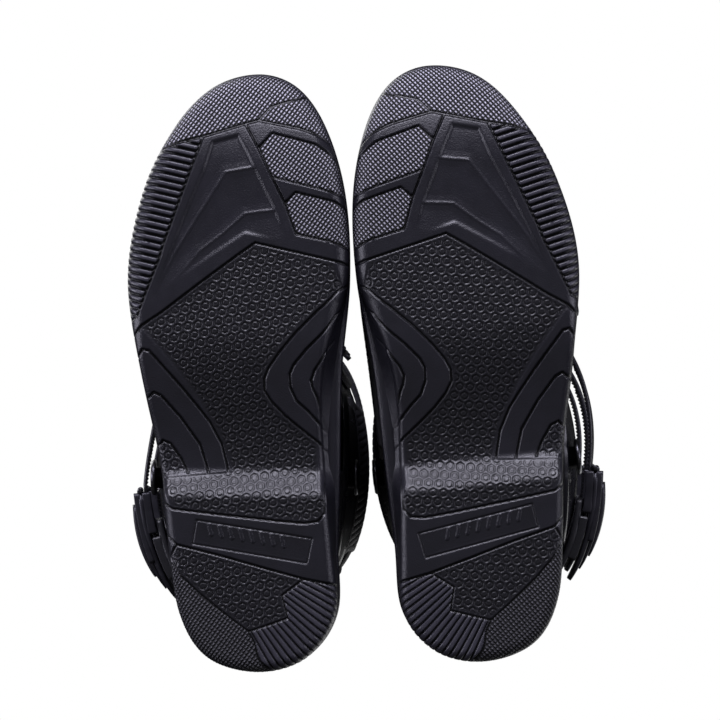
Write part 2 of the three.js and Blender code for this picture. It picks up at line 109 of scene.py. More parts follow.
# ---- meshes ------------------------------------------------------------------------------
# A part is a point array in millimetres, in a boot's own frame, with a list of face arrays.
# A piece is one or more parts in one mesh.


def add_piece(name, parts, side, slot, body=None, replaces=()):
    """The left boot's faces are reversed, because mirroring turns them inside out."""
    points, faces, count = [], [], 0
    for part_points, part_faces in parts:
        points.append(part_points.reshape(-1, 3))
        for block in part_faces:
            block = block + count
            faces += (block[:, ::-1] if side == "L" else block).tolist()
        count += len(points[-1])
    mesh = bpy.data.meshes.new(name)
    mesh.from_pydata(to_pair(np.concatenate(points) * MM, side).tolist(), [], faces)
    mesh.polygons.foreach_set("use_smooth", np.full(len(faces), True))
    mesh.update()
    obj = bpy.data.objects.new(name, mesh)
    bpy.context.scene.collection.objects.link(obj)
    mesh.materials.append(MATERIALS[slot])
    if body:
        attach(obj, body)
    if replaces:
        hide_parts(*replaces)
    return obj


def grid_faces(rows, columns, wrap_rows=False, wrap_columns=False):
    """Quads of a grid of points kept row by row; wrapping joins the last to the first."""
    r = np.arange(rows if wrap_rows else rows - 1)[:, None]
    c = np.arange(columns if wrap_columns else columns - 1)[None, :]
    next_r = (r + 1) % rows
    next_c = (c + 1) % columns
    corners = [r * columns + c, r * columns + next_c, next_r * columns + next_c, next_r * columns + c]
    return np.stack(corners, axis=-1).reshape(-1, 4)


def outward(points, faces):
    """A closed part with its faces turned outward: the sum of the small pyramids between
    the origin and each face is the part's volume, and is negative when they point in."""
    p = points.reshape(-1, 3)
    volume = 0.0
    for block in faces:
        first = p[block[:, 0]]
        for i in range(1, block.shape[1] - 1):
            volume += np.sum(first * np.cross(p[block[:, i]], p[block[:, i + 1]]))
    return p, [block[:, ::-1] if volume < 0 else block for block in faces]


def shell(outer, inner, ring=False):
    """A closed wall between two point grids of one size. The first axis runs round the boot
    when ring is true; open edges are joined by strips from the outer grid to the inner."""
    rows, columns = outer.shape[:2]
    points = np.concatenate([outer.reshape(-1, 3), inner.reshape(-1, 3)])
    face = grid_faces(rows, columns, wrap_rows=ring)
    back = face[:, ::-1] + rows * columns
    index = np.arange(rows * columns).reshape(rows, columns)
    blocks = [face, back]
    for edge, flip in ((index[:, 0], False), (index[:, -1], True)):
        along = np.append(edge, edge[0]) if ring else edge
        blocks.append(strip(along, rows * columns, flip))
    if not ring:
        for edge, flip in ((index[0], True), (index[-1], False)):
            blocks.append(strip(edge, rows * columns, flip))
    return outward(points, blocks)


def strip(edge, shift, flip):
    """Quads that join an edge's points to the same points of the inner grid."""
    quads = np.stack([edge[:-1], edge[:-1] + shift, edge[1:] + shift, edge[1:]], axis=-1)
    return quads[:, ::-1] if not flip else quads


def tube(grid):
    """A closed bar from sections that are closed loops: first axis along it, second round."""
    rows, columns = grid.shape[:2]
    sides = grid_faces(rows, columns, wrap_columns=True)
    loop = np.arange(columns)[None, :]
    caps = np.concatenate([loop[:, ::-1], loop + (rows - 1) * columns])
    return outward(grid.reshape(-1, 3), [sides, caps])


# ---- the sole's outline and heights ------------------------------------------------------

SOLE_FRONT = 155.0  # the sole's own sizes are in millimetres
SOLE_REAR = -158.0
TREAD_LATERAL = [0, 25.5, 45, 61, 68.2, 61, 51, 46.4, 40.8, 26.5, 0]
TREAD_MEDIAL = [0, 20.5, 35.3, 44.9, 47.2, 34, 34.5, 39, 40.5, 25.5, 0]
WELT_MEDIAL = [0, 20.5, 35.3, 44.9, 47.2, 43, 42, 41, 40.5, 25.5, 0]
SPRING_FROM = 100  # the toe rises from here to the front
TOE_SPRING = 14
WAIST_FROM, WAIST_TO = 20, -50  # the waist rises from the forefoot back to the heel breast
WAIST_RISE = 9
BREAST_FOOT, BREAST_TOP = -68, -50.5  # the slope in front of the heel
EDGE_REAR, EDGE_FRONT = -155, 152  # the sole's upper edge
EDGE_HEEL, EDGE_TOE, EDGE_DIP = 25, 27, 9


def spline(values, t):
    """Catmull-Rom curve through evenly spaced values, at t from 0 to 1."""
    p = np.asarray(values, dtype=float)
    last = len(p) - 1
    x = np.clip(np.asarray(t, dtype=float), 0, 1) * last
    i = np.minimum(x.astype(int), last - 1)
    f = x - i
    p0 = np.where(i > 0, p[np.maximum(i - 1, 0)], 2 * p[0] - p[1])
    p3 = np.where(i < last - 1, p[np.minimum(i + 2, last)], 2 * p[last] - p[last - 1])
    p1, p2 = p[i], p[i + 1]
    a = 2 * p1
    b = (p2 - p0) * f
    c = (2 * p0 - 5 * p1 + 4 * p2 - p3) * f**2
    d = (3 * p1 - p0 - 3 * p2 + p3) * f**3
    return 0.5 * (a + b + c + d)


def outline(count, medial=None):
    """The sole's outline, from the toe round the lateral side to the heel and back."""
    medial = TREAD_MEDIAL if medial is None else medial
    t = np.linspace(0, 2, count, endpoint=False)
    around = np.where(t <= 1, t, 2 - t)
    v = SOLE_FRONT - (SOLE_FRONT - SOLE_REAR) * (1 - np.cos(np.pi * around)) / 2
    u = np.where(t <= 1, spline(TREAD_LATERAL, around), -spline(medial, around))
    return np.stack([u, v], axis=-1)


def smooth(low, high, x):
    """0 below low, 1 above high, with an S curve between."""
    t = np.clip((x - low) / (high - low), 0, 1)
    return t * t * (3 - 2 * t)


def tread_height(v):
    """Height of the tread off the ground: toe spring, waist and heel breast."""
    spring = TOE_SPRING * np.clip((v - SPRING_FROM) / (SOLE_FRONT - SPRING_FROM), 0, 1.4) ** 2
    waist = WAIST_RISE * smooth(0, 1, (WAIST_FROM - v) / (WAIST_FROM - WAIST_TO))
    breast = WAIST_RISE * smooth(BREAST_FOOT, BREAST_TOP, v)
    return np.where(v > WAIST_FROM, spring, np.where(v > WAIST_TO, waist, breast))


def sole_top(v):
    """Height of the sole's upper edge, dipping under the ball of the foot."""
    c = np.clip((v - EDGE_REAR) / (EDGE_FRONT - EDGE_REAR), 0, 1)
    return EDGE_HEEL + (EDGE_TOE - EDGE_HEEL) * c - EDGE_DIP * np.sin(np.pi * c) ** 2


# ---- plane shapes ------------------------------------------------------------------------


def near(line, u, v):
    """Distance from each point to a broken line."""
    best = np.full(u.shape, 1e9)
    for (x0, y0), (x1, y1) in zip(line[:-1], line[1:]):
        dx, dy = x1 - x0, y1 - y0
        t = np.clip(((u - x0) * dx + (v - y0) * dy) / (dx * dx + dy * dy), 0, 1)
        best = np.minimum(best, np.hypot(u - x0 - t * dx, v - y0 - t * dy))
    return best


def inside(polygon, u, v):
    """True for points inside a closed polygon."""
    hit = np.zeros(u.shape, dtype=bool)
    for (x0, y0), (x1, y1) in zip(polygon, polygon[1:] + polygon[:1]):
        if y0 == y1:
            continue
        crosses = (v < y0) != (v < y1)
        hit ^= crosses & (u < (x1 - x0) * (v - y0) / (y1 - y0) + x0)
    return hit


def depth_in(polygon, u, v):
    """Distance inside a closed polygon: positive inside, negative outside."""
    distance = near(polygon + polygon[:1], u, v)
    return np.where(inside(polygon, u, v), distance, -distance)


# ---- the tread's pattern -----------------------------------------------------------------
# Points are (lateral, forward) in millimetres. Points far outside the sole let a zone or a
# groove run right over the rim.

TOE_GROOVE = [(90, 106), (49.5, 116.3), (28.5, 121.4), (6.3, 128.1), (-0.5, 130)]
TOE_BRANCH = [(-0.5, 130), (-6.7, 137), (-20.6, 141.4), (-60, 158)]
BLOCK_1_FOOT = [(-0.5, 130), (-21.5, 125.7), (-31.5, 122.4), (-80, 98)]
BLOCK_2 = [(-1, 115.5), (-7.8, 122.9), (-30.6, 116.8), (-39.3, 111.6), (-80, 90),
           (-80, 77), (-44, 90.7), (-34, 93.7), (-7.6, 100.3)]
BLOCK_3 = [(-14.5, 86.3), (-20, 92), (-41, 86.8), (-80, 70), (-80, 50), (-45.5, 64),
           (-39, 66.5), (-20.5, 70.3)]
PLATE_MEDIAL = [(6.3, 128.1), (-1, 114.5), (-7.6, 100.3), (-14.5, 86.3), (-20.2, 70.7),
                (-39.3, 66.3), (-80, 50)]
PLATE_LATERAL = [(28.3, 121.2), (49, 65), (51, 58), (60.7, 33.3), (62.9, 27.7), (90, 14)]
PLATE_RECESS = [(9.4, 123.4), (24.2, 119.5), (28.5, 105.5), (39, 81), (46, 62), (56, 35),
                (24, 58), (6, 70), (-8, 66.5), (-15.5, 70), (-9.5, 85.5), (-2.6, 99.5), (4, 113.5)]
CHEVRON_1 = [(1.1, 105.3), (16.3, 102.6), (30.3, 80.7), (42, 62), (56, 35)]
CHEVRON_2 = [(-9, 82.9), (6.3, 81), (18, 70.7), (29.4, 62), (39, 50.7), (49.4, 40.7)]
RIB_ZONE = [(28.3, 121.2), (49.5, 116.3), (90, 106), (110, 6), (62.9, 27.7), (60.7, 33.3),
            (51, 58), (49, 65)]
HEX_TOP = [(90, 2), (65.5, 17.2), (60, 23), (50.3, 29.4), (30.3, 44.6), (9.4, 60), (1, 65.8),
           (-9.7, 63.3), (-40.2, 56.3), (-80, 46)]
MEDIAL_GROOVE_1 = [(-80, 50), (-46, 42), (-42.8, 40.7), (-30.6, 29.8), (-20.2, 19.4), (-11.5, 9),
                   (-5.8, 0.7), (-3.5, -5), (-3.7, -11), (-7.1, -16.7), (-14.1, -24.1),
                   (-21.9, -30.6), (-31.8, -38.4), (-70, -70)]
MEDIAL_GROOVE_2 = [(-80, 46), (-41.9, 27.7), (-34.1, 19), (-25.4, 10.3), (-18.9, 2.4), (-16.9, -2.3),
                   (-17.1, -9.3), (-20.2, -16.3), (-26.3, -21.9), (-31.5, -27.6), (-60, -54)]
MEDIAL_GROOVE_3 = [(-70, 30), (-35.8, 8.1), (-29.7, -0.6), (-28, -5.8), (-28.9, -10.2),
                   (-31.5, -15.4), (-32.8, -19.3), (-40, -40)]
LATERAL_RIDGE = [(59.4, 20.3), (43.3, 1.1), (31.6, -15), (19.8, -36.3), (14, -53)]
LATERAL_GROOVE_1 = [(90, -10), (62.9, 6.3), (59.8, 10.5), (56.3, 9.8), (48.5, 1), (39.8, -8.9),
                    (30.3, -20.6), (25, -27.6), (19, -39), (15.5, -53)]
LATERAL_GROOVE_2 = [(90, -30), (56.8, -14.5), (54.2, -11.9), (50.3, -13.7), (40.3, -25),
                    (30.3, -39.3), (25.8, -54)]
LATERAL_GROOVE_3 = [(80, -52), (51, -39), (49.8, -37.1), (45.7, -38.8), (39.9, -47.1), (36.6, -54)]
BREAST_GROOVE = [(80, -62), (47.5, -70.7), (44, -72.5), (19.8, -75.4), (-10, -78.7), (-24.5, -80),
                 (-31.5, -78.9), (-35.1, -75), (-36.2, -68), (-36, -60)]
HEEL_PANEL = [(31.6, -78.3), (-28.4, -87.9), (-25.8, -100.7), (33.7, -90.5)]
HEEL_GROOVE = [(90, -70), (46.1, -87.9), (42, -91.1), (19.8, -96.7), (-5, -103.7), (-24.1, -108.9),
               (-40.2, -112), (-80, -119)]
HEEL_HEX = [(42, -91.1), (19.8, -96.7), (-5, -103.7), (-24.1, -108.9), (-12.8, -117.4),
            (-15.8, -129.3), (4.6, -136.3), (14.6, -128.9), (30.3, -116.3), (40, -107), (46.5, -98)]
HEEL_CROSS = [(90, -78), (43.3, -102), (40, -107), (30.3, -116.3), (14.6, -128.9), (4.6, -136.3),
              (1.5, -142), (-0.6, -151), (-6.3, -156.3), (-20, -200), (90, -200)]
HEEL_RIBS = [(-24.1, -108.9), (-40.2, -112), (-90, -120), (-90, -200), (-20, -200), (-6.3, -156.3),
             (-0.6, -151), (1.5, -142), (4.6, -136.3), (-15.8, -129.3), (-12.8, -117.4)]
RECESS_FOOT = 61.0  # the plate's recess runs out toward this slanted line
RECESS_SLANT = -0.46

CROSS_PITCH = 2.0
CROSS_LEAN = 0.62  # slant of the crosshatch's rows, in radians
CROSS_LONG = 1.08  # pitch along the rows, and across them, as shares of the pitch
CROSS_SHORT = 0.92
CROSS_DEPTH = 0.7
RIB_PITCH = 3.73
RIB_SLANT = 0.23
RIB_DEPTH = 1.9
FAN_CENTRE = (34.5, -81.0)  # the heel's ribs fan out from here
FAN_STEP = 2.37  # degrees from rib to rib
FAN_DEPTH = 1.2
HEX_PITCH = 5.35
HEX_TURN = math.radians(-9)
STUD_RADIUS = 1.72  # middle of the ring cut round a stud
STUD_RING = 0.34  # the ring's half width
STUD_DIMPLE = 0.7
RECESS_DEPTH = 1.1
CUT_DEPTH = 1.5  # lines between the forefoot's blocks
WAIST_CUT = 1.3  # lines of the waist and heel


def groove(distance, width, depth):
    """Depth of a rounded groove at a distance from its middle line."""
    return depth * (1 - smooth(width * 0.25, width * 0.62, distance))


def crosshatch(u, v):
    """Small pyramids in two rows that cross: depth below their tips."""
    cos, sin = math.cos(CROSS_LEAN), math.sin(CROSS_LEAN)
    a = (u * cos + v * sin) / (CROSS_PITCH * CROSS_SHORT)
    b = (v * cos - u * sin) / (CROSS_PITCH * CROSS_LONG)
    side_a = np.abs(a - np.round(a)) * 2
    side_b = np.abs(b - np.round(b)) * 2
    return CROSS_DEPTH * np.maximum(side_a, side_b)


def straight_ribs(u, v):
    """Ribs across the lateral forefoot: flat tops with rounded channels between."""
    phase = (v - RIB_SLANT * u) / RIB_PITCH
    away = np.abs(phase - np.round(phase)) * 2
    return RIB_DEPTH * smooth(0.42, 0.9, away)


def fan_ribs(u, v):
    """Ribs that fan out round the medial heel, from a point on its far side."""
    phase = np.degrees(np.arctan2(FAN_CENTRE[1] - v, FAN_CENTRE[0] - u)) / FAN_STEP
    away = np.abs(phase - np.round(phase)) * 2
    return FAN_DEPTH * smooth(0.55, 0.95, away)


def hex_studs(u, v):
    """Studs on a triangular lattice: depth of the ring cut round each one, with a dimple in
    its middle. A stud's outline is partly a circle and partly a hexagon."""
    row_height = math.sqrt(3) / 2
    x = (u * math.cos(HEX_TURN) + v * math.sin(HEX_TURN)) / HEX_PITCH
    y = (v * math.cos(HEX_TURN) - u * math.sin(HEX_TURN)) / (HEX_PITCH * row_height)
    best = np.full(u.shape, HEX_PITCH)
    for row in (0, 1):
        j = 2 * np.round((y - row) / 2) + row
        i = np.round(x - row * 0.5) + row * 0.5
        dx = (x - i) * HEX_PITCH
        dy = (y - j) * HEX_PITCH * row_height
        six = np.maximum.reduce([np.abs(dx), np.abs(dx / 2 + dy * row_height),
                                 np.abs(dx / 2 - dy * row_height)])
        best = np.minimum(best, 0.45 * np.hypot(dx, dy) + 0.55 * six)
    ring = np.exp(-(((best - STUD_RADIUS) / STUD_RING) ** 2))
    dimple = np.exp(-((best / STUD_DIMPLE) ** 2))
    return 0.60 * ring + 0.2 * dimple


def tread_depth(u, v):
    """Depth of the pattern below the tread's plain surface, in millimetres, with the shares
    of crosshatch and of ribs, and the depth of the fine pattern alone."""
    depth = np.zeros(u.shape)
    hatched = np.zeros(u.shape)
    ribbed = np.zeros(u.shape)

    def fill(polygon, pattern, edge=0.5, mark=None):
        share = smooth(0, edge, depth_in(polygon, u, v))
        np.copyto(depth, np.maximum(depth, 0) * (1 - share) + pattern * share)
        if mark is not None:
            np.maximum(mark, share, out=mark)

    def line(points, width=1.3, deep=CUT_DEPTH):
        cut = groove(near(points, u, v), width, 1.0)
        np.maximum(depth, deep * cut, out=depth)
        np.multiply(hatched, 1 - cut, out=hatched)
        np.multiply(ribbed, 1 - cut, out=ribbed)

    cross = crosshatch(u, v)
    studs = hex_studs(u, v)
    toe_zone = TOE_GROOVE + TOE_BRANCH[1:] + [(-60, 230), (90, 230)]
    for zone in (toe_zone, TOE_BRANCH + BLOCK_1_FOOT[::-1][:-1], BLOCK_2, BLOCK_3):
        fill(zone, cross, mark=hatched)
    fill(RIB_ZONE, straight_ribs(u, v), 0.8, ribbed)
    hex_zone = (HEX_TOP[1:-1] + MEDIAL_GROOVE_1[1:-1] + [(-31.8, -62)] + BREAST_GROOVE[::-1][1:-2]
                + [(48, -66), (50, -56), (14, -53)] + LATERAL_RIDGE[::-1][1:])
    hex_depth = depth_in(hex_zone, u, v)
    fill(hex_zone, 0.35 + studs * smooth(1.2, 2.6, hex_depth), 1.0)
    side_hex = [(36.6, -54), (39.9, -47.1), (45.7, -38.8), (49.8, -37.1), (54, -40), (52, -56)]
    fill(side_hex, 0.2 + studs, 1.2)
    fill(HEEL_HEX, 0.3 + studs * smooth(1.0, 2.2, depth_in(HEEL_HEX, u, v)), 0.8)
    fill(HEEL_CROSS, cross, mark=hatched)
    fill(HEEL_RIBS, fan_ribs(u, v), 0.8, ribbed)
    above_foot = v - (RECESS_FOOT + RECESS_SLANT * u)
    recess = smooth(0, 2.6, depth_in(PLATE_RECESS, u, v)) * smooth(0, 20, above_foot)
    depth += RECESS_DEPTH * recess
    for ridge in (CHEVRON_1, CHEVRON_2):
        away = near(ridge, u, v)
        depth -= (0.3 * (1 - smooth(0, 1.3, away)) + 0.35 * np.clip(1 - away / 4.0, 0, 1)) * recess
    panel = depth_in(HEEL_PANEL, u, v)
    depth += 0.2 * smooth(0.4, 1.6, panel) + 0.6 * np.exp(-((panel / 0.5) ** 2))
    for points in (TOE_GROOVE, TOE_BRANCH, BLOCK_1_FOOT):
        line(points, 1.9)
    for points in (BLOCK_2 + BLOCK_2[:1], BLOCK_3 + BLOCK_3[:1], PLATE_MEDIAL, PLATE_LATERAL):
        line(points)
    for points in (HEX_TOP, MEDIAL_GROOVE_1, MEDIAL_GROOVE_2, MEDIAL_GROOVE_3, LATERAL_GROOVE_1,
                   LATERAL_GROOVE_2, LATERAL_GROOVE_3, BREAST_GROOVE, HEEL_GROOVE):
        line(points, deep=WAIST_CUT)
    line(HEEL_HEX + HEEL_HEX[:1], 1.1, 1.1)
    line(HEEL_CROSS[5:9], 1.2, 1.2)
    depth -= panel_bars(u, v)
    return depth, hatched, ribbed, depth - RECESS_DEPTH * recess


BAR_COUNT = 8
BAR_START = np.array([-14.0, -92.0])  # foot of the first bar
BAR_STEP = np.array([5.4, 0.88])
BAR_LEAN = np.array([1.4, 5.2])  # from a bar's foot to its tip


def panel_bars(u, v):
    """A plain row of slanted bars raised in the heel panel's recess."""
    height = np.zeros(u.shape)
    for k in range(BAR_COUNT):
        foot = BAR_START + k * BAR_STEP
        away = near([tuple(foot), tuple(foot + BAR_LEAN)], u, v)
        height = np.maximum(height, 0.45 * (1 - smooth(0.6, 1.0, away)))
    return height


# ---- the sole ----------------------------------------------------------------------------

TREAD_STEP = 0.47
SHEET_SIDE = (-76.0, 96.0)
SHEET_LENGTH = (-186.0, 183.0)
OUTLINE_POINTS = 420
RIM_PLACES = [-158, -75, -55, 5, 35, 158]
RIM_RADII = [7, 5, 3.5, 3.5, 9, 9]


def rim_radius(v):
    """Radius of the rolled rim: wide at the toe and forefoot, tight at the waist."""
    return np.interp(v, RIM_PLACES, RIM_RADII)


def outline_distance(u, v):
    """Distance inside the outline (negative outside) and the outward direction there."""
    ring = outline(OUTLINE_POINTS)
    best = np.full(u.shape, 1e9)
    nu = np.zeros(u.shape)
    nv = np.zeros(u.shape)
    for (x0, y0), (x1, y1) in zip(ring, np.roll(ring, -1, axis=0)):
        dx, dy = x1 - x0, y1 - y0
        t = np.clip(((u - x0) * dx + (v - y0) * dy) / (dx * dx + dy * dy), 0, 1)
        px, py = u - x0 - t * dx, v - y0 - t * dy
        d = np.hypot(px, py)
        closer = d < best
        best = np.where(closer, d, best)
        nu = np.where(closer, px, nu)
        nv = np.where(closer, py, nv)
    within = inside([tuple(p) for p in ring], u, v)
    sign = np.where(within, -1.0, 1.0)
    scale = sign / np.maximum(best, 1e-6)
    return np.where(within, best, -best), nu * scale, nv * scale


def share_round(v):
    """Share of the way along one side of the outline at a place forward: 0 toe, 1 heel."""
    return np.arccos(np.clip(2 * (v - SOLE_REAR) / (SOLE_FRONT - SOLE_REAR) - 1, -1, 1)) / np.pi


def waist_flare(u, v):
    """How far the medial wall of the waist leans out above the tread, in millimetres."""
    around = share_round(v)
    extra = spline(WELT_MEDIAL, around) - spline(TREAD_MEDIAL, around)
    return np.where(u < 0, np.maximum(extra, 0), 0)


def tread_sheet():
    """The tread as one fine sheet: flat inside the rim, then rolled up round a quarter
    circle, then straight up the side wall. The pattern is laid out on the unrolled sheet
    and pushed in along the rolled surface."""
    us = np.arange(SHEET_SIDE[0], SHEET_SIDE[1], TREAD_STEP)
    vs = np.arange(SHEET_LENGTH[0], SHEET_LENGTH[1], TREAD_STEP)
    u, v = np.meshgrid(us, vs)
    within, nu, nv = outline_distance(u, v)
    r = rim_radius(v)
    beyond = r - within
    angle = np.clip(beyond / r, 0, np.pi / 2)
    rise = np.maximum(beyond - r * np.pi / 2, 0)
    rolled = beyond > 0
    shift = np.where(rolled, r * np.sin(angle) - beyond, 0)
    x = u + nu * shift
    y = v + nv * shift
    base = tread_height(y)
    z = base + np.where(rolled, r * (1 - np.cos(angle)), 0) + rise
    top = sole_top(y)
    wall = np.maximum(top - base - r, 1)
    lean = waist_flare(u, y) * np.clip(rise / wall, 0, 1)
    x = x + nu * lean
    y = y + nv * lean
    fade = (1 - smooth(2.0, 6.0, rise)) * (1 - 0.72 * smooth(0.45, 1.35, angle))
    depth, hatched, ribbed, fine = tread_depth(u, v)
    depth = depth * fade
    x = x - nu * depth * np.sin(angle) * rolled
    y = y - nv * depth * np.sin(angle) * rolled
    z = z + depth * np.cos(angle)
    keep = rise < wall - 0.8
    points = np.stack([x, y, z], axis=-1)
    place = np.stack([u, v, np.zeros(u.shape)], axis=-1)
    # The material paints shade by the second share, the depth of the fine pattern, and paints highlights on the
    # crosshatch's tips and the ribs' crests by the first and third.
    pattern = np.stack([hatched * fade, np.clip(fine * fade, 0, 1), ribbed * fade], axis=-1)
    return points, place, pattern, keep


TREAD_CUTS = (-190, -62, 66, 190)
TREAD_PARTS = ("heel", "waist", "toe")


def build_tread(side, sheet):
    """The outsole of one boot, in three pieces that meet edge to edge."""
    points, place, pattern, keep = sheet
    faces = grid_faces(*keep.shape)[:, ::-1]
    points, place, pattern = (block.reshape(-1, 3) for block in (points, place, pattern))
    solid = keep.reshape(-1)[faces].all(axis=1)
    middle = place[:, 1][faces].mean(axis=1)
    for low, high, name in zip(TREAD_CUTS[:-1], TREAD_CUTS[1:], TREAD_PARTS):
        chosen = faces[solid & (middle >= low) & (middle < high)]
        used, local = np.unique(chosen, return_inverse=True)
        replaced = [f"{side}_outsole"] if name == "waist" else []
        part = (points[used], [local.reshape(-1, 4)])
        piece = add_piece(f"{side}_tread_{name}", [part], side, "sole_rubber", f"{side}_foot", replaced)
        give_vectors(piece, "tread_place", place[used])
        give_vectors(piece, "tread_pattern", pattern[used])


def give_vectors(piece, name, values):
    """Adds one vector for each point of a piece, for its material to read."""
    attribute = piece.data.attributes.new(name, "FLOAT_VECTOR", "POINT")
    attribute.data.foreach_set("vector", values.astype(np.float32).ravel())


WELT_INSET = [0.2, -0.5, -0.8, -0.5, 0.3, 1.8, 2.5, 3.2, 9.0, 9.0]
WELT_DROP = [4.2, 3.2, 2.0, 0.8, 0.1, 0.0, 0.7, 0.0, 0.0, 4.2]


def build_welt(side):
    """The sole's upper edge: a rounded strip swept round the outline of the welt. Its
    section is a loop of points, each an inset from the outline and a drop from the top."""
    ring = outline(OUTLINE_POINTS, WELT_MEDIAL)
    ahead = np.roll(ring, -1, axis=0) - np.roll(ring, 1, axis=0)
    normal = np.stack([ahead[:, 1], -ahead[:, 0]], axis=-1)
    normal /= np.linalg.norm(normal, axis=1, keepdims=True)
    normal *= np.sign(np.sum(normal * (ring - ring.mean(axis=0)), axis=1))[:, None]
    flat = ring[:, None, :] - normal[:, None, :] * np.array(WELT_INSET)[None, :, None]
    z = sole_top(ring[:, 1])[:, None] - np.array(WELT_DROP)[None, :]
    grid = np.concatenate([flat, z[..., None]], axis=-1)
    part = outward(grid.reshape(-1, 3), [grid_faces(*grid.shape[:2], True, True)])
    add_piece(f"{side}_welt", [part], side, "sole_rubber", f"{side}_foot")


# ---- the last ----------------------------------------------------------------------------
# One point of each profile for each level: (forward, up). Widths are half the ring's width.

FRONT = [(152, 27), (150, 42), (139.0, 56), (114.6, 67), (86, 80), (60, 99), (38, 122),
         (27, 150), (20, 187), (15, 230), (13, 275), (14, 324), (18, 371)]
REAR = [(-155, 25), (-157, 35), (-157, 47), (-155, 60), (-151, 76), (-146, 94), (-140, 114),
        (-135, 138), (-133, 172), (-134, 214), (-138, 262), (-140, 308), (-138, 350)]
LATERAL = [66, 60, 56, 54.5, 55.5, 58, 61, 64, 64.5, 64.5, 64, 63.5, 62]
MEDIAL = [50, 49.5, 48, 46, 45, 45, 46, 48.5, 50.5, 52, 52.5, 52, 50.5]
TOP_LEVEL = 12
WELT_SHARE = 0.965
SOLE_SAG = 9


def profile(points, level):
    """Smooth curve through a profile: centripetal Catmull-Rom, one span for each level."""
    p = np.asarray(points, dtype=float)
    p = np.vstack([2 * p[0] - p[1], p, 2 * p[-1] - p[-2]])
    x = np.clip(level, 0, TOP_LEVEL)
    i = np.minimum(x.astype(int), TOP_LEVEL - 1)
    f = (x - i)[..., None]
    p0, p1, p2, p3 = p[i], p[i + 1], p[i + 2], p[i + 3]
    d0, d1, d2 = (np.sqrt(np.linalg.norm(b - a, axis=-1))[..., None]
                  for a, b in ((p0, p1), (p1, p2), (p2, p3)))
    t1 = ((p1 - p0) / d0 - (p2 - p0) / (d0 + d1) + (p2 - p1) / d1) * d1
    t2 = ((p2 - p1) / d1 - (p3 - p1) / (d1 + d2) + (p3 - p2) / d2) * d1
    c2 = -3 * p1 + 3 * p2 - 2 * t1 - t2
    c3 = 2 * p1 - 2 * p2 + t1 + t2
    return p1 + t1 * f + c2 * f**2 + c3 * f**3


def last(level, angle):
    """Points of the last. A ring runs from the front profile to the rear one, and is an oval
    as wide as the level says; below level 4 it turns into the sole's outline."""
    level, angle = np.broadcast_arrays(np.asarray(level, float), np.asarray(angle, float))
    turn = np.radians(np.mod(angle, 360))
    c = (1 + np.cos(turn)) / 2
    lateral = turn <= np.pi
    around = np.where(lateral, turn, 2 * np.pi - turn) / np.pi
    t = level / TOP_LEVEL
    half = np.where(lateral, spline(LATERAL, t), spline(MEDIAL, t))
    welt = np.where(lateral, spline(TREAD_LATERAL, around), spline(WELT_MEDIAL, around))
    blend = np.minimum(1, level / 4)
    x = welt * WELT_SHARE * (1 - blend) + half * np.abs(np.sin(turn)) ** 0.7 * blend
    front = profile(FRONT, level)
    rear = profile(REAR, level)
    place = rear + (front - rear) * c[..., None]
    sag = SOLE_SAG * np.maximum(0, 1 - level / 3) * np.sin(np.pi * c) ** 2
    return np.stack([np.where(lateral, x, -x), place[..., 0], place[..., 1] - sag], axis=-1)


def off_last(level, angle, height):
    """Points a height off the last, along its outward direction."""
    level, angle, height = np.broadcast_arrays(level, angle, height)
    step = 0.05
    up = last(np.minimum(TOP_LEVEL, level + step), angle) - last(np.maximum(0, level - step), angle)
    along = last(level, angle + 1) - last(level, angle - 1)
    normal = np.cross(up, along)
    normal /= np.linalg.norm(normal, axis=-1, keepdims=True)
    return last(level, angle) + normal * np.asarray(height)[..., None]


# ---- plates on the last ------------------------------------------------------------------

SHELL_IN, SHELL_OUT = -7.1, -3.9  # heights off the last
PANEL_IN, PANEL_OUT = -2.5, 0.8
LINER_IN, LINER_OUT = -15.0, -8.0
GUSSET_LOW, GUSSET_HIGH = 5.0, 6.0  # levels, and angles in degrees
GUARD_FOOT = 0.12
TOE_REACH, TOE_TOP, TOE_DROP = 60, 3.1, 1.2
HEEL_REACH, HEEL_TOP, HEEL_RISE = 72, 2.6, 1.2
PAD_MIDDLE, PAD_REACH, PAD_LOW, PAD_TOP, PAD_TAPER = -84, 20, 1.4, 3.1, 1 / 60
SHIN_REACH, SHIN_LOW, SHIN_RISE = 48, 6.1, 0.7
PLATE_LOW, PLATE_TOP = 7.35, 11.3
CALF_FROM, CALF_TO = 132, 216
GUARD_FROM, GUARD_TO = 228, 300
COLLAR_LOW = 11.35
LINER_LOW, LINER_HIGH = 6.15, 11.9


class Patch:
    """A grid of places on the last: angle and level at each, the points there, and the
    distance in millimetres to the patch's nearest edge. Its lowest and highest levels are
    numbers, or one number for each angle."""

    def __init__(self, angles, low, high, rows, ring=False):
        self.ring = ring
        self.angle = angles[:, None] + np.zeros((1, rows))
        bottom = np.broadcast_to(low, angles.shape)[:, None]
        top = np.broadcast_to(high, angles.shape)[:, None]
        self.level = bottom + (top - bottom) * np.linspace(0, 1, rows)[None, :]
        self.points = last(self.level, self.angle)
        self.edge = self.reach(1) if ring else np.minimum(self.reach(0), self.reach(1))

    def reach(self, axis):
        """Distance along the grid to its nearer end."""
        steps = np.linalg.norm(np.diff(self.points, axis=axis), axis=-1)
        start = np.zeros_like(np.take(steps, [0], axis=axis))
        far = np.concatenate([start, np.cumsum(steps, axis=axis)], axis=axis)
        total = np.take(far, [-1], axis=axis)
        return np.minimum(far, total - far)

    def wall(self, inner, outer):
        """A closed wall from one height off the last to another."""
        outside = off_last(self.level, self.angle, outer + np.zeros(self.level.shape))
        inside = off_last(self.level, self.angle, inner + np.zeros(self.level.shape))
        return shell(outside, inside, self.ring)


def angles_round(count):
    return np.linspace(0, 360, count, endpoint=False)


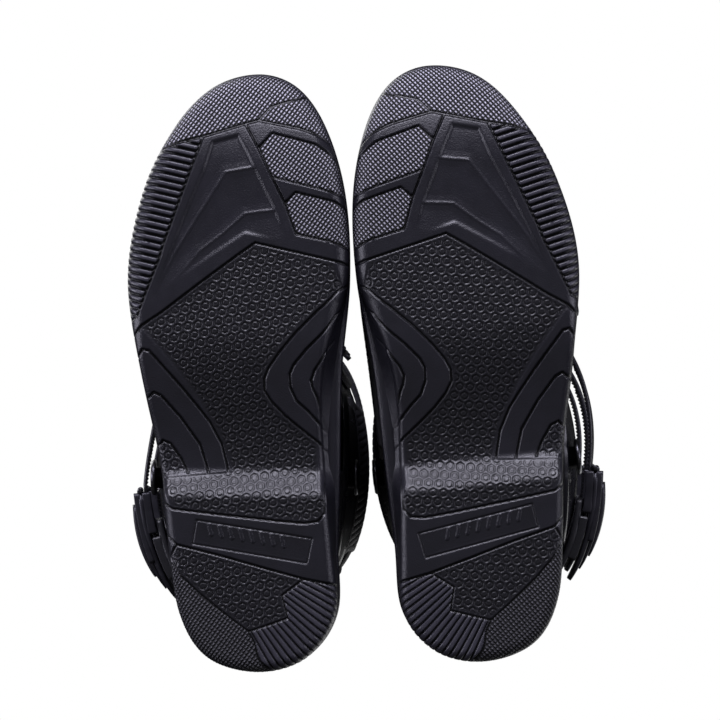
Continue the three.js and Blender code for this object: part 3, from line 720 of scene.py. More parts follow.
def rolled(edge, radius, drop):
    """How far a rounded edge falls below the face: a quarter of an ellipse."""
    t = 1 - np.clip(edge / radius, 0, 1)
    return drop * (1 - np.sqrt(1 - t**2))


def ridges(place, pitch, sharp=0.35):
    """A row of smooth ridges along a coordinate, from 0 to 1."""
    wave = 0.5 + 0.5 * np.cos(2 * np.pi * place / pitch)
    return smooth(sharp, 1, wave)


def moulded(p, border, slope, sink=0.0, roll=2.4, drop=2.6):
    """A moulded plate's relief: a rounded edge, a border, and a slope down to its field.
    Gives each point's height off the last, and its share of the field."""
    field = smooth(border, border + slope, p.edge)
    return PANEL_OUT - rolled(p.edge, roll, drop) - sink * field, field


def foot_shell(side):
    """The foot's leather-grained shell, with a seam near the sole and flex folds across the
    instep: five soft waves that fade out toward the sides."""
    p = Patch(angles_round(190), 0.06, GUSSET_LOW, 66, ring=True)
    aside = np.minimum(p.angle, 360 - p.angle)
    flex = smooth(3.1, 3.4, p.level) * (1 - smooth(4.75, 4.95, p.level)) * (1 - smooth(45, 70, aside))
    height = SHELL_OUT + 1.5 * flex * np.cos(2 * np.pi * (p.level - 3.2) / 0.36)
    height -= groove(np.abs(p.level - 1.62) * 12, 1.6, 0.6)
    height -= groove(np.abs(p.level - 1.8) * 12, 1.0, 0.4)
    height -= rolled(p.edge, 1.5, 0.9)
    add_piece(f"{side}_foot_upper", [p.wall(SHELL_IN, height)], side, "shell_plastic",
              f"{side}_foot", [f"{side}_foot_shell"])


def toe_cap(side):
    """Toe guard: a raised border round a shallow recess, with a ridge down its middle."""
    angles = np.linspace(-TOE_REACH, TOE_REACH, 112)
    p = Patch(angles, GUARD_FOOT, TOE_TOP - TOE_DROP * (angles / TOE_REACH) ** 2, 60)
    height, field = moulded(p, border=6.0, slope=1.6, sink=0.9, roll=2.2, drop=2.4)
    height += 0.8 * field * (1 - smooth(3.0, 7.0, np.abs(p.points[..., 0])))
    height -= field * groove(np.abs(p.edge - 11), 1.4, 0.6)
    add_piece(f"{side}_toe_guard", [p.wall(PANEL_IN, height)], side, "panel_plastic",
              f"{side}_foot", [f"{side}_toe_cap"])


def heel_counter(side):
    """Heel guard: a raised border, and upright ribs over the back of the heel."""
    angles = np.linspace(180 - HEEL_REACH, 180 + HEEL_REACH, 130)
    p = Patch(angles, GUARD_FOOT, HEEL_TOP + HEEL_RISE * np.cos(np.radians(angles - 180)), 52)
    height, field = moulded(p, border=5.0, slope=1.4, sink=0.9, roll=2.2, drop=2.4)
    back = 1 - smooth(26, 32, np.abs(p.angle - 180))
    height += 0.9 * field * back * ridges(p.points[..., 0], 6.5)
    height -= field * (1 - back) * groove(np.abs(p.level - 1.5) * 12, 1.6, 0.7)
    add_piece(f"{side}_heel_guard", [p.wall(PANEL_IN, height)], side, "panel_plastic",
              f"{side}_foot", [f"{side}_heel_counter"])


def shift_pad(side):
    """Gear-lever pad on the left boot: a rubber patch with rows of slanted ridges."""
    angles = np.linspace(PAD_MIDDLE - PAD_REACH, PAD_MIDDLE + PAD_REACH, 70)
    narrower = np.abs(angles - PAD_MIDDLE) * PAD_TAPER
    p = Patch(angles, PAD_LOW + narrower, PAD_TOP - narrower, 46)
    height, field = moulded(p, border=2.6, slope=1.0, roll=2.0)
    height += 1.0 - 0.8 * field * (1 - ridges(p.points[..., 1] + 0.5 * p.points[..., 2], 3.4))
    add_piece(f"{side}_gear_pad", [p.wall(PANEL_IN, height)], side, "grained_rubber",
              f"{side}_foot", [f"{side}_shift_pad"])


def bellows(side):
    """The ankle gusset: three folds between the foot's shell and the cuff, each a smooth
    wave over the gusset's height."""
    p = Patch(angles_round(120), GUSSET_LOW, GUSSET_HIGH, 40, ring=True)
    fold = np.sin(3 * np.pi * (p.level - GUSSET_LOW) / (GUSSET_HIGH - GUSSET_LOW)) ** 2
    outer = SHELL_OUT - 3.0 + 2.6 * fold
    piece = add_piece(f"{side}_gusset", [p.wall(outer - 2.0, outer)], side, "grained_rubber", None,
                      [f"{side}_ankle_bellows"])
    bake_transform(piece)


CUFF_SEAMS = (64, 122, 222, 306)  # angles of the upright seams


def cuff(side):
    """The cuff's shell, leather grained, with four upright seams and a seam above the
    ankle. Each seam is a pair of fine grooves."""
    p = Patch(angles_round(190), GUSSET_HIGH, TOP_LEVEL, 78, ring=True)
    height = SHELL_OUT - rolled(p.edge, 2.0, 1.2)
    for seam in CUFF_SEAMS:
        for offset in (-1.6, 1.6):
            height -= groove(np.abs(p.angle - seam - offset), 1.5, 0.5)
    height += 0.5 * smooth(6.3, 6.5, p.level) * ridges(p.points[..., 2], 24.0, 0.6)
    add_piece(f"{side}_cuff_shell", [p.wall(SHELL_IN, height)], side, "shell_plastic",
              f"{side}_leg", [f"{side}_cuff"])


def collar(side):
    """The soft ring round the top: upright ribs under a rolled top edge."""
    p = Patch(angles_round(600), COLLAR_LOW, TOP_LEVEL, 15, ring=True)
    height, field = moulded(p, border=2.5, slope=2.0, roll=3.2, drop=3.0)
    height -= 0.8 * field * (1 - ridges(p.angle, 3.0, 0.2))
    add_piece(f"{side}_top_ring", [p.wall(PANEL_IN, height)], side, "grained_rubber",
              f"{side}_leg", [f"{side}_collar"])


def shin_plate(side):
    """Shin guard: a raised border, a spine down the middle and slanted vents beside it."""
    angles = np.linspace(-SHIN_REACH, SHIN_REACH, 116)
    p = Patch(angles, SHIN_LOW + SHIN_RISE * (angles / SHIN_REACH) ** 2, PLATE_TOP, 150)
    x, z = p.points[..., 0], p.points[..., 2]
    height, field = moulded(p, border=5.0, slope=2.0, sink=1.0, roll=2.6)
    height += field * (1 - smooth(5.0, 9.5, np.abs(x)))
    beside = smooth(13, 14.5, np.abs(x)) * (1 - smooth(28, 29.5, np.abs(x))) * smooth(9, 11, p.edge)
    slot = smooth(0.55, 0.8, 0.5 + 0.5 * np.cos(2 * np.pi * (z - 0.55 * np.abs(x)) / 15.0))
    height -= 0.9 * beside * slot
    add_piece(f"{side}_shin_guard", [p.wall(PANEL_IN, height)], side, "panel_plastic",
              f"{side}_leg", [f"{side}_shin_plate"])


def calf_plate(side):
    """Calf guard: a raised border round broad level ridges."""
    p = Patch(np.linspace(CALF_FROM, CALF_TO, 90), PLATE_LOW, PLATE_TOP, 130)
    height, field = moulded(p, border=5.0, slope=2.0)
    tilt = 0.08 * p.points[..., 0]
    height -= 1.2 * field * (1 - ridges(p.points[..., 2] + tilt, 13.0, 0.25))
    add_piece(f"{side}_calf_guard", [p.wall(PANEL_IN, height)], side, "panel_plastic",
              f"{side}_leg", [f"{side}_calf_plate"])


def burn_guard(side):
    """The rubber patch on the inner side: diamonds where two sets of slanted grooves cross."""
    p = Patch(np.linspace(GUARD_FROM, GUARD_TO, 116), PLATE_LOW, PLATE_TOP, 135)
    y, z = p.points[..., 1], p.points[..., 2]
    height, field = moulded(p, border=4.0, slope=1.2)
    one = ridges(z + 0.9 * y, 8.0, 0.0)
    two = ridges(z - 0.9 * y, 8.0, 0.0)
    height -= 0.9 * field * np.clip(1 - 1.6 * one * two, 0, 1)
    add_piece(f"{side}_peg_guard", [p.wall(PANEL_IN, height)], side, "grained_rubber",
              f"{side}_leg", [f"{side}_burn_guard"])


YOKE_ANGLE = 98.5  # the ankle pivot's angle round the last
ARM_SPAN, ARM_DROP = 32, 1.75  # an arm's half width in degrees, and its depth in levels
YOKE_LOW, YOKE_HIGH = 6.15, 7.25


def ankle_yoke(side):
    """The frame behind the ankle. Its lower edge follows a level line, and dips in half an
    ellipse at each pivot. A raised disc and a ring groove lie round each pivot."""
    angles = np.linspace(YOKE_ANGLE - ARM_SPAN, 360 - YOKE_ANGLE + ARM_SPAN, 250)
    away = np.minimum(np.abs(angles - YOKE_ANGLE), np.abs(angles - 360 + YOKE_ANGLE)) / ARM_SPAN
    low = YOKE_LOW - ARM_DROP * np.sqrt(np.maximum(0, 1 - away**2))
    p = Patch(angles, low, YOKE_HIGH, 45)
    from_pivot = np.hypot(p.points[..., 1] - ANKLE_Y / MM, p.points[..., 2] - ANKLE_Z / MM)
    height, field = moulded(p, border=4.0, slope=1.5)
    height -= 0.8 * field * smooth(14.0, 15.5, from_pivot)
    height -= groove(np.abs(from_pivot - 12.5), 1.4, 0.6)
    back = 1 - smooth(30, 36, np.abs(p.angle - 180))
    height += 0.8 * field * back * ridges(p.points[..., 0], 9.0)
    add_piece(f"{side}_ankle_frame", [p.wall(PANEL_IN, height)], side, "panel_plastic",
              f"{side}_leg", [f"{side}_ankle_yoke"])


def pivot_bolt(side, lateral):
    """A hinge bolt, turned about the ankle's axis: a flat round head with a six-sided
    socket. Each ring of its profile has a place along the axis, a radius, and whether it
    follows a hexagon (1) or a circle (0)."""
    name = "pivot_lateral" if lateral else "pivot_medial"
    centre, size = node_extent(side, name)
    sign = 1 if lateral else -1
    tip = np.abs(centre[0]) + size[0] / 2
    root = np.abs(centre[0]) - size[0] / 2
    turn = np.linspace(0, 2 * np.pi, 72, endpoint=False)
    corner = np.abs(np.mod(turn, np.pi / 3) - np.pi / 6)
    hexagon = math.cos(math.pi / 6) / np.cos(np.pi / 6 - corner)
    rings = [(root, 0.2, 0), (root, 6, 0), (tip - 3, 6, 0), (tip - 3, 9.4, 0), (tip - 2.4, 10, 0),
             (tip - 1.2, 9.8, 0), (tip - 0.4, 9, 0), (tip - 0.3, 7.5, 0), (tip - 0.9, 7.0, 0),
             (tip - 0.9, 5.6, 0), (tip - 0.1, 5.1, 0), (tip, 4.4, 1), (tip - 0.3, 4.0, 1),
             (tip - 2.4, 3.9, 1), (tip - 2.6, 0.2, 1)]
    x = np.array([r[0] for r in rings])[:, None] + 0 * turn
    radius = np.array([r[1] for r in rings])[:, None]
    six = np.array([r[2] for r in rings])[:, None]
    radius = radius * (1 - six + six * hexagon[None, :])
    y = ANKLE_Y / MM + radius * np.cos(turn)
    z = ANKLE_Z / MM + radius * np.sin(turn)
    part = tube(np.stack([sign * x, y, z], axis=-1))
    add_piece(f"{side}_{name}_head", [part], side, "bolt_steel", f"{side}_foot", [f"{side}_{name}"])


def node_extent(side, name):
    """Middle and size of a CAD node in its boot's own frame, in millimetres. The toe-in is
    small, so the node's box is turned about its middle only."""
    low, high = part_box(f"{side}_{name}")
    middle = (np.array(low) + np.array(high)) / 2 - boot_origin(side)
    size = np.array(high) - np.array(low)
    return to_boot(middle, side) / MM, size / MM


# ---- inside the boot ---------------------------------------------------------------------


def liner(side):
    """The padding inside the cuff: upright quilted channels that swell toward the leg. The
    inner face is the sine of the angle, deepest along each sewn line."""
    p = Patch(angles_round(216), LINER_LOW, LINER_HIGH, 52, ring=True)
    channel = np.abs(np.sin(np.radians(p.angle * 12)))
    across = np.abs(np.sin(np.pi * (p.level - LINER_LOW) / 1.15))
    puff = np.sqrt(channel) * np.sqrt(np.clip(across, 0, 1))
    inner = LINER_IN + 2.2 * (1 - puff)
    inner += 3.0 * rolled(p.edge, 7.0, 1.0)
    piece = add_piece(f"{side}_cuff_padding", [p.wall(inner, LINER_OUT)], side, "lining",
                      f"{side}_leg", [f"{side}_cuff_liner"])


FOOTBED_INSET = 17.6


def footbed(side):
    """The footbed: a pad whose top is cupped at the rim and crowned under the arch, with
    fine quilting across it. Its half width follows the sole's, less an inset."""
    front, rear = SOLE_FRONT - FOOTBED_INSET - 2, SOLE_REAR + FOOTBED_INSET + 2
    angle = np.radians(np.linspace(9, 171, 90))[:, None]
    y = (front + rear) / 2 + (front - rear) / 2 * np.cos(angle)
    around = share_round(y)
    lateral = np.maximum(3, spline(TREAD_LATERAL, around) - FOOTBED_INSET)
    medial = np.maximum(3, spline(WELT_MEDIAL, around) - FOOTBED_INSET)
    share = np.linspace(-1, 1, 33)[None, :]
    x = (lateral - medial) / 2 + (lateral + medial) / 2 * share
    base = sole_top(y) + 3.6
    rim = 1 - smooth(0.86, 1.0, np.abs(share))
    arch = 0.8 * np.exp(-(((y + 30) / 40) ** 2)) * np.clip(-share, 0, 1)
    quilt = 0.35 * np.abs(np.sin(x * 0.35 + y * 0.35)) * np.abs(np.sin(x * 0.35 - y * 0.35))
    top = base + 2.6 + 2.0 * np.sqrt(rim) + 0.4 * share**2 + arch + quilt * rim - 0.6
    y = y + 0 * x
    part = shell(np.stack([x, y, top], axis=-1), np.stack([x, y, base + 0 * x], axis=-1))
    piece = add_piece(f"{side}_footbed_pad", [part], side, "footbed_foam", f"{side}_foot",
                      [f"{side}_footbed"])


# ---- buckles -----------------------------------------------------------------------------

BUCKLES = {
    1: {"level": 4.25, "slope": 1.6, "start": -44, "end": 70},
    2: {"level": 6.8, "slope": 0.0, "start": -34, "end": 142},
    3: {"level": 8.6, "slope": 0.0, "start": -34, "end": 141},
    4: {"level": 10.35, "slope": 0.0, "start": -34, "end": 140},
}
STRAP_HALF, STRAP_IN, STRAP_OUT = 11, 6.5, 9.5
BASE_IN, BASE_OUT = 1.4, 5.8
LEVER_HALF, LEVER_IN = 13, 9.9
LEVER_SPANS = (-42, 3), (-40, -3), (-37, -9)  # the lever's three layers, from the lowest
TOOTH_PITCH, TOOTH_DEPTH = 2.0, 1.25
STRAP_BOW = {"R": -4.3, "L": 3.5}  # how far the shaft's straps stand out where they are free
BOW_FROM, BOW_GAP = 40, 44  # that stretch: from this angle to this many degrees before the buckle
BASE_SPAN = (-30, 6)  # spans of the buckle's parts, in degrees from the strap's end
CHEEK_SPAN = (-24, -6)
PAWL_SPAN = (-27, -21)
RAIL_SPAN = (-41, -15)
FLANGE_SPAN = (-41, -25.5)
LOOP = np.linspace(0, 2 * np.pi, 20, endpoint=False) + np.pi / 20


def line_level(buckle, angles):
    """Level of a buckle's line at an angle: it slopes down away from the front."""
    return buckle["level"] - buckle["slope"] * np.abs(angles) / 100


def squared(turn):
    """A loop with flat sides and rounded corners, from -1 to 1 each way."""
    cos, sin = np.cos(turn), np.sin(turn)
    return np.sign(cos) * np.abs(cos) ** 0.34, np.sign(sin) * np.abs(sin) ** 0.34


def band(buckle, angles, across, height):
    """A bar along a buckle's line. Each section is a closed loop of places: millimetres
    across the line, and height off the last."""
    level = line_level(buckle, angles)
    span = np.linalg.norm(last(level + 0.2, angles) - last(level - 0.2, angles), axis=-1)
    levels = level[:, None] + across * (0.4 / span)[:, None]
    return tube(off_last(levels, angles[:, None] + 0 * across, height + 0 * across))


def bar(buckle, span, half, inner, outer, sections=30, middle=0.0):
    """A plain band with a squared section, over a span of degrees from the strap's end. Its
    half width and its inner and outer heights are numbers, or functions of the share of the
    way along it."""
    t = np.linspace(0, 1, sections)[:, None]
    wide, tall = squared(LOOP)
    half, low, high = (v(t) if callable(v) else v + 0 * t for v in (half, inner, outer))
    across = half * wide + middle
    height = (low + high) / 2 + (high - low) / 2 * tall
    return band(buckle, buckle["end"] + np.linspace(*span, sections), across, height)


def rounded_ends(half, share=0.08, least=0.55):
    """A half width that draws in toward both ends in a quarter circle."""
    def shape(t):
        near_end = np.clip(np.minimum(t, 1 - t) / share, 0, 1)
        return half * (least + (1 - least) * np.sqrt(1 - (1 - near_end) ** 2))
    return shape


def strap(side, number, buckle):
    """A ladder strap: a smooth outer face with a sunk middle, and saw teeth across its inner
    face at an even pitch along its length. On the shaft it stands out in a shallow bow."""
    start, end = buckle["start"], buckle["end"]
    turns = np.linspace(start, end, 200)
    path = last(line_level(buckle, turns), turns)
    walked = np.concatenate([[0], np.cumsum(np.linalg.norm(np.diff(path, axis=0), axis=1))])
    sections = int(walked[-1] / TOOTH_PITCH * 3)
    angles = np.interp(np.linspace(0, walked[-1], sections), walked, turns)
    length = np.linspace(0, walked[-1], sections)[:, None]
    saw = np.mod(length / TOOTH_PITCH, 1.0)
    toothed = smooth(16, 20, length)
    wide, tall = squared(LOOP)
    near_end = np.clip(np.minimum(length, walked[-1] - length) / 6, 0, 1)
    half = STRAP_HALF * (0.7 + 0.3 * np.sqrt(1 - (1 - near_end) ** 2))
    low = np.where(tall < 0, STRAP_IN + TOOTH_DEPTH * saw * toothed, STRAP_IN)
    height = (low + STRAP_OUT) / 2 + (STRAP_OUT - low) / 2 * tall
    sunk = 0.5 * (1 - smooth(6.0, 7.4, np.abs(half * wide))) * (tall > 0)
    free = np.clip((angles - BOW_FROM) / (end - BOW_GAP - BOW_FROM), 0, 1)
    bow = STRAP_BOW[side] * np.sin(np.pi * free)[:, None] if number > 1 else 0
    ladder = band(buckle, angles, half * wide, height - sunk + bow)
    rivet = button(buckle, start + 5, STRAP_OUT - 0.3, 4.2, 1.5)
    add_piece(f"{side}_ladder_{number}", [ladder, rivet], side, "strap_plastic",
              f"{side}_strap_body_{number}", [f"{side}_strap_{number}"])


BUTTON_RINGS = [(0, 0.05), (0, 1), (0.45, 1), (0.8, 0.86), (0.62, 0.6), (0.62, 0.5), (1, 0.42),
                (1, 0.05)]  # shares of its rise and of its radius


def button(buckle, angle, height, radius, rise):
    """A domed rivet head with a ring sunk in it, standing on a band's outer face."""
    level = np.array(line_level(buckle, angle))
    spot = off_last(level, np.array(float(angle)), np.array(float(height)))
    above = off_last(level, np.array(float(angle)), np.array(float(height + 1)))
    out = above - spot
    side_way = np.cross(out, [0, 0, 1])
    side_way /= np.linalg.norm(side_way)
    up_way = np.cross(side_way, out)
    turn = np.linspace(0, 2 * np.pi, 28, endpoint=False)[None, :]
    rings = np.array(BUTTON_RINGS)
    r = radius * rings[:, 1][:, None]
    h = rise * rings[:, 0][:, None] + 0 * turn
    grid = (spot + (r * np.cos(turn))[..., None] * side_way + (r * np.sin(turn))[..., None] * up_way
            + h[..., None] * out)
    return tube(grid)


def receiver(side, number, buckle):
    """The buckle's base: a plate that bulges at its middle, two cheeks that guide the
    strap, and a pawl housing between them."""
    def bulge(t):
        return 11 + 3 * np.sin(np.pi * t)

    parts = [bar(buckle, BASE_SPAN, bulge, BASE_IN, BASE_OUT),
             bar(buckle, PAWL_SPAN, rounded_ends(8.5), BASE_OUT - 1, 6.3, 12)]
    for where in (-12.4, 12.4):
        parts.append(bar(buckle, CHEEK_SPAN, rounded_ends(0.8, 0.2), BASE_OUT - 1, 9.6, 20, where))
    body = f"{side}_foot" if number == 1 else f"{side}_leg"
    add_piece(f"{side}_buckle_base_{number}", parts, side, "buckle_base", body,
              [f"{side}_receiver_{number}"])


def taper(t):
    """Half width of the lever's lowest layer: it draws in to a round tip."""
    return LEVER_HALF * np.sqrt(np.maximum(0.02, 1.02 - t**2.4)) * (0.8 + 0.2 * smooth(0, 0.1, t))


def lever(side, number, buckle):
    """The closing lever in three stacked layers, each shorter and narrower than the one
    below, with a rail along each side and flanges that straddle the strap. The lowest draws
    in to a lifted tip, and the upper two swell at their middles."""
    lowest, second, third = LEVER_SPANS
    parts = [
        bar(buckle, lowest, taper, lambda t: LEVER_IN + 1.6 * t**5,
            lambda t: LEVER_IN + 3.4 + 0.8 * t**5, 44),
        bar(buckle, second, lambda t: 10.5 * np.sqrt(np.maximum(0.1, 1.04 - t**3)), LEVER_IN + 3.0,
            lambda t: LEVER_IN + 4.4 + 1.4 * np.sin(np.pi * (0.15 + 0.7 * t)), 40),
        bar(buckle, third, rounded_ends(7.0, 0.16), LEVER_IN + 4.5,
            lambda t: LEVER_IN + 6.0 + 2.0 * np.sin(np.pi * (0.1 + 0.8 * t)), 36),
    ]
    for sign in (-1, 1):
        parts.append(bar(buckle, RAIL_SPAN, rounded_ends(1.1, 0.1), LEVER_IN + 2.4, LEVER_IN + 5.6,
                         24, 11.2 * sign))
        parts.append(bar(buckle, FLANGE_SPAN, rounded_ends(0.85), 6.2, LEVER_IN + 1, 20, 12.1 * sign))
    body = f"{side}_lever_body_{number}"
    add_piece(f"{side}_clasp_{number}", parts, side, "buckle_lever", body, [f"{side}_lever_{number}"])
    add_piece(f"{side}_clasp_pin_{number}", [hinge_pin(side, number)], side, "bolt_steel", body)


PIN_ALONG = [-13.2, -12.8, -11.4, -11.3, 11.3, 11.4, 12.8, 13.2]
PIN_RADII = [1.2, 1.7, 1.7, 1.2, 1.2, 1.7, 1.7, 1.2]


def hinge_pin(side, number):
    """The lever's pin: a round bar along its hinge line, with a collar at each end."""
    joint = next(j for j in frame["joints"] if j["name"] == f"{side}_lever_{number}_open")
    middle = to_boot(np.array(joint["pos_m"]) - boot_origin(side), side) / MM
    axis = to_boot(np.array(joint["axis"]), side)
    axis /= np.linalg.norm(axis)
    one = np.cross(axis, [1, 0.3, 0])
    one /= np.linalg.norm(one)
    two = np.cross(axis, one)
    along = np.array(PIN_ALONG)[:, None]
    radius = np.array(PIN_RADII)[:, None]
    turn = np.linspace(0, 2 * np.pi, 20, endpoint=False)[None, :]
    grid = (middle + (along + 0 * turn)[..., None] * axis + (radius * np.cos(turn))[..., None] * one
            + (radius * np.sin(turn))[..., None] * two)
    return tube(grid)


# ---- materials ---------------------------------------------------------------------------


class Wire:
    """One output socket, with arithmetic that adds Math nodes."""

    def __init__(self, tree, socket):
        self.tree = tree
        self.socket = socket

    def math(self, kind, *others, flip=False):
        node = self.tree.nodes.new("ShaderNodeMath")
        node.operation = kind
        inputs = [self, *others]
        if flip:
            inputs.reverse()
        for slot, value in zip(node.inputs, inputs):
            plug(self.tree, slot, value)
        return Wire(self.tree, node.outputs[0])

    def __add__(self, other):
        return self.math("ADD", other)

    __radd__ = __add__

    def __mul__(self, other):
        return self.math("MULTIPLY", other)

    __rmul__ = __mul__

    def __sub__(self, other):
        return self.math("SUBTRACT", other)

    def __rsub__(self, other):
        return self.math("SUBTRACT", other, flip=True)

    def __truediv__(self, other):
        return self.math("DIVIDE", other)

    def __pow__(self, other):
        return self.math("POWER", other)

    def __abs__(self):
        return self.math("ABSOLUTE")

    def clamped(self):
        return self.math("MAXIMUM", 0.0).math("MINIMUM", 1.0)

    def saw(self):
        """Twice the distance to the nearest whole number: 0 at it, 1 halfway."""
        return abs(self - self.math("ROUND")) * 2.0


def plug(tree, slot, value):
    """Links a wire to a socket, or sets the socket to a plain value."""
    if isinstance(value, Wire):
        tree.links.new(value.socket, slot)
    else:
        slot.default_value = value


class Shader:
    """A node material with a Principled shader and one method that adds any other node."""

    def __init__(self, name):
        self.material = bpy.data.materials.new(name)
        self.material.use_nodes = True
        self.tree = self.material.node_tree
        self.surface = self.tree.nodes["Principled BSDF"]

    def node(self, kind, output=0, settings=None, **inputs):
        made = self.tree.nodes.new("ShaderNode" + kind)
        for key, value in (settings or {}).items():
            setattr(made, key, value)
        for key, value in inputs.items():
            plug(self.tree, made.inputs[key.replace("_", " ")], value)
        return Wire(self.tree, made.outputs[output])

    def place(self):
        return self.node("TexCoord", "Object")

    def attribute(self, name):
        """The three numbers of a vector kept on the piece's points."""
        vector = self.node("Attribute", "Vector", {"attribute_name": name})
        return [self.node("SeparateXYZ", axis, Vector=vector) for axis in "XYZ"]

    def noise(self, scale, detail=3.0):
        return self.node("TexNoise", "Fac", Vector=self.place(), Scale=scale, Detail=detail)

    def cells(self, scale):
        """Distance to the nearest of many scattered points: rounded pebbles."""
        made = self.node("TexVoronoi", "Distance", Vector=self.place(), Scale=scale, Randomness=0.9)
        return 1.0 - made

    def wave(self, scale, direction):
        settings = {"wave_type": "BANDS", "bands_direction": direction}
        return self.node("TexWave", "Fac", settings, Vector=self.place(), Scale=scale)

    def stretched(self, scale, ratio):
        """Noise drawn out along the axes whose ratio is small."""
        place = self.node("Mapping", "Vector", Vector=self.place(), Scale=ratio)
        return self.node("TexNoise", "Fac", Vector=place, Scale=scale, Detail=4.0)

    def mix(self, share, one, two):
        made = self.tree.nodes.new("ShaderNodeMix")
        made.data_type = "RGBA"
        plug(self.tree, made.inputs[0], share)
        plug(self.tree, made.inputs[6], one)
        plug(self.tree, made.inputs[7], two)
        return Wire(self.tree, made.outputs[2])

    def set(self, **values):
        for key, value in values.items():
            plug(self.tree, self.surface.inputs[key.replace("_", " ")], value)

    def bump(self, height, distance, strength=1.0):
        made = self.node("Bump", "Normal", Height=height, Distance=distance, Strength=strength)
        self.set(Normal=made)


def sole_rubber():
    """Moulded black rubber. The crosshatch's pyramids are drawn again as a bump, so their
    edges stay sharp. Their tips are painted pale as a painted highlight, most of all toward
    the toe; the rib crests are painted paler as a fainter painted highlight, and the rest is
    painted darker the deeper it lies, as painted shade."""
    s = Shader("sole_rubber")
    u, v, _ = s.attribute("tread_place")
    hatched, deep, ribbed = s.attribute("tread_pattern")
    cos, sin = math.cos(CROSS_LEAN), math.sin(CROSS_LEAN)
    a = (u * cos + v * sin) / (CROSS_PITCH * CROSS_SHORT)
    b = (v * cos - u * sin) / (CROSS_PITCH * CROSS_LONG)
    pit = a.saw().math("MAXIMUM", b.saw() * 0.66)
    bloom = s.noise(55.0, 4.0)
    skin = s.mix(bloom, (0.005, 0.005, 0.007, 1), (0.013, 0.0125, 0.018, 1))
    # Painted shade: the deeper a point of the tread lies, the nearer its colour goes to black.
    sunk = s.mix(deep, skin, (0.001, 0.001, 0.0013, 1))
    # Painted highlight: the ribs' crests are painted paler than the channels between them.
    painted_crest_highlight = (1 - deep) ** 2.0 * ribbed
    ribs = s.mix(painted_crest_highlight, sunk, (0.034, 0.033, 0.043, 1))
    # Painted highlight: the crosshatch's tips are painted pale, more and more toward the toe, and the pits between
    # them are painted near black as painted shade.
    toward_toe = (v + 190.0) / 340.0
    painted_tip_highlight = s.mix(toward_toe ** 2.0, (0.03, 0.029, 0.036, 1), (0.54, 0.53, 0.61, 1))
    tips = s.mix(((0.5 - pit) * 4.0).clamped(), (0.001, 0.001, 0.0015, 1), painted_tip_highlight)
    s.set(Base_Color=s.mix(hatched, ribs, tips))
    s.set(Roughness=s.noise(180.0) * 0.12 + 0.28 + pit * hatched * 0.45)
    s.set(Specular_IOR_Level=0.45)
    grain = s.noise(1300.0, 3.0) * 0.16
    s.bump(grain - pit * hatched * 0.5, 0.001)
    return s.material


def shell_plastic():
    """Coated leather: irregular pebbles with creases between them, worn a little glossier
    in broad patches."""
    s = Shader("shell_plastic")
    pebbles = s.cells(420.0)
    wear = s.noise(14.0, 4.0)
    s.set(Base_Color=s.mix(wear, (0.006, 0.006, 0.008, 1), (0.014, 0.014, 0.018, 1)))
    s.set(Roughness=wear * 0.16 + 0.30)
    s.bump(pebbles + s.noise(1500.0) * 0.3, 0.0004, 0.6)
    return s.material


def panel_plastic():
    """Gloss moulded plastic: nearly smooth, with fine scuffs that run along the plate."""
    s = Shader("panel_plastic")
    scuffs = s.stretched(60.0, (1.0, 1.0, 0.12))
    s.set(Base_Color=s.mix(scuffs, (0.005, 0.005, 0.007, 1), (0.012, 0.012, 0.016, 1)))
    s.set(Roughness=scuffs ** 3.0 * 0.30 + 0.24)
    s.bump(s.noise(320.0, 4.0), 0.00006, 0.5)
    return s.material


def grained_rubber():
    """Matt rubber with a close pebble grain."""
    s = Shader("grained_rubber")
    s.set(Base_Color=s.mix(s.noise(30.0, 4.0), (0.010, 0.010, 0.012, 1), (0.022, 0.021, 0.026, 1)))
    s.set(Roughness=s.noise(90.0) * 0.15 + 0.50)
    s.bump(s.cells(900.0), 0.0003, 0.7)
    return s.material


def lining():
    """Woven spacer mesh: two sets of fine threads that cross, as a bump and in colour."""
    s = Shader("lining")
    weave = s.wave(700.0, "Z") * s.wave(700.0, "X")
    s.set(Base_Color=s.mix(weave, (0.010, 0.010, 0.012, 1), (0.040, 0.040, 0.046, 1)))
    s.set(Roughness=s.noise(60.0) * 0.1 + 0.82)
    s.bump(weave, 0.0004, 0.8)
    return s.material


def footbed_foam():
    """Foam under a knitted top cloth, a little rubbed."""
    s = Shader("footbed_foam")
    knit = s.wave(520.0, "X") * s.wave(520.0, "Y")
    s.set(Base_Color=s.mix(s.noise(24.0, 4.0), (0.030, 0.030, 0.034, 1), (0.065, 0.065, 0.072, 1)))
    s.set(Roughness=knit * 0.1 + 0.82)
    s.bump(knit, 0.0004, 0.7)
    return s.material


def board_fibre():
    """Pressed fibre board: short fibres at random, in warm greys."""
    s = Shader("board_fibre")
    fibres = s.stretched(260.0, (1.0, 0.2, 1.0))
    s.set(Base_Color=s.mix(fibres, (0.10, 0.075, 0.045, 1), (0.22, 0.17, 0.11, 1)))
    s.set(Roughness=fibres * 0.2 + 0.72)
    s.bump(fibres, 0.0003, 0.6)
    return s.material


def spring_steel():
    """Rolled steel strip with lengthwise brushing."""
    s = Shader("spring_steel")
    brushed = s.stretched(900.0, (1.0, 0.03, 1.0))
    s.set(Base_Color=s.mix(brushed, (0.42, 0.42, 0.44, 1), (0.62, 0.62, 0.64, 1)))
    s.set(Metallic=1.0, Roughness=brushed * 0.18 + 0.26)
    s.bump(brushed, 0.00003, 0.5)
    return s.material


def strap_plastic():
    """Tough black strap plastic with a satin sheen and rubbed patches."""
    s = Shader("strap_plastic")
    rub = s.noise(45.0, 4.0)
    s.set(Base_Color=s.mix(rub, (0.006, 0.006, 0.008, 1), (0.016, 0.016, 0.020, 1)))
    s.set(Roughness=rub * 0.2 + 0.22)
    s.bump(s.noise(700.0, 3.0), 0.00008, 0.5)
    return s.material


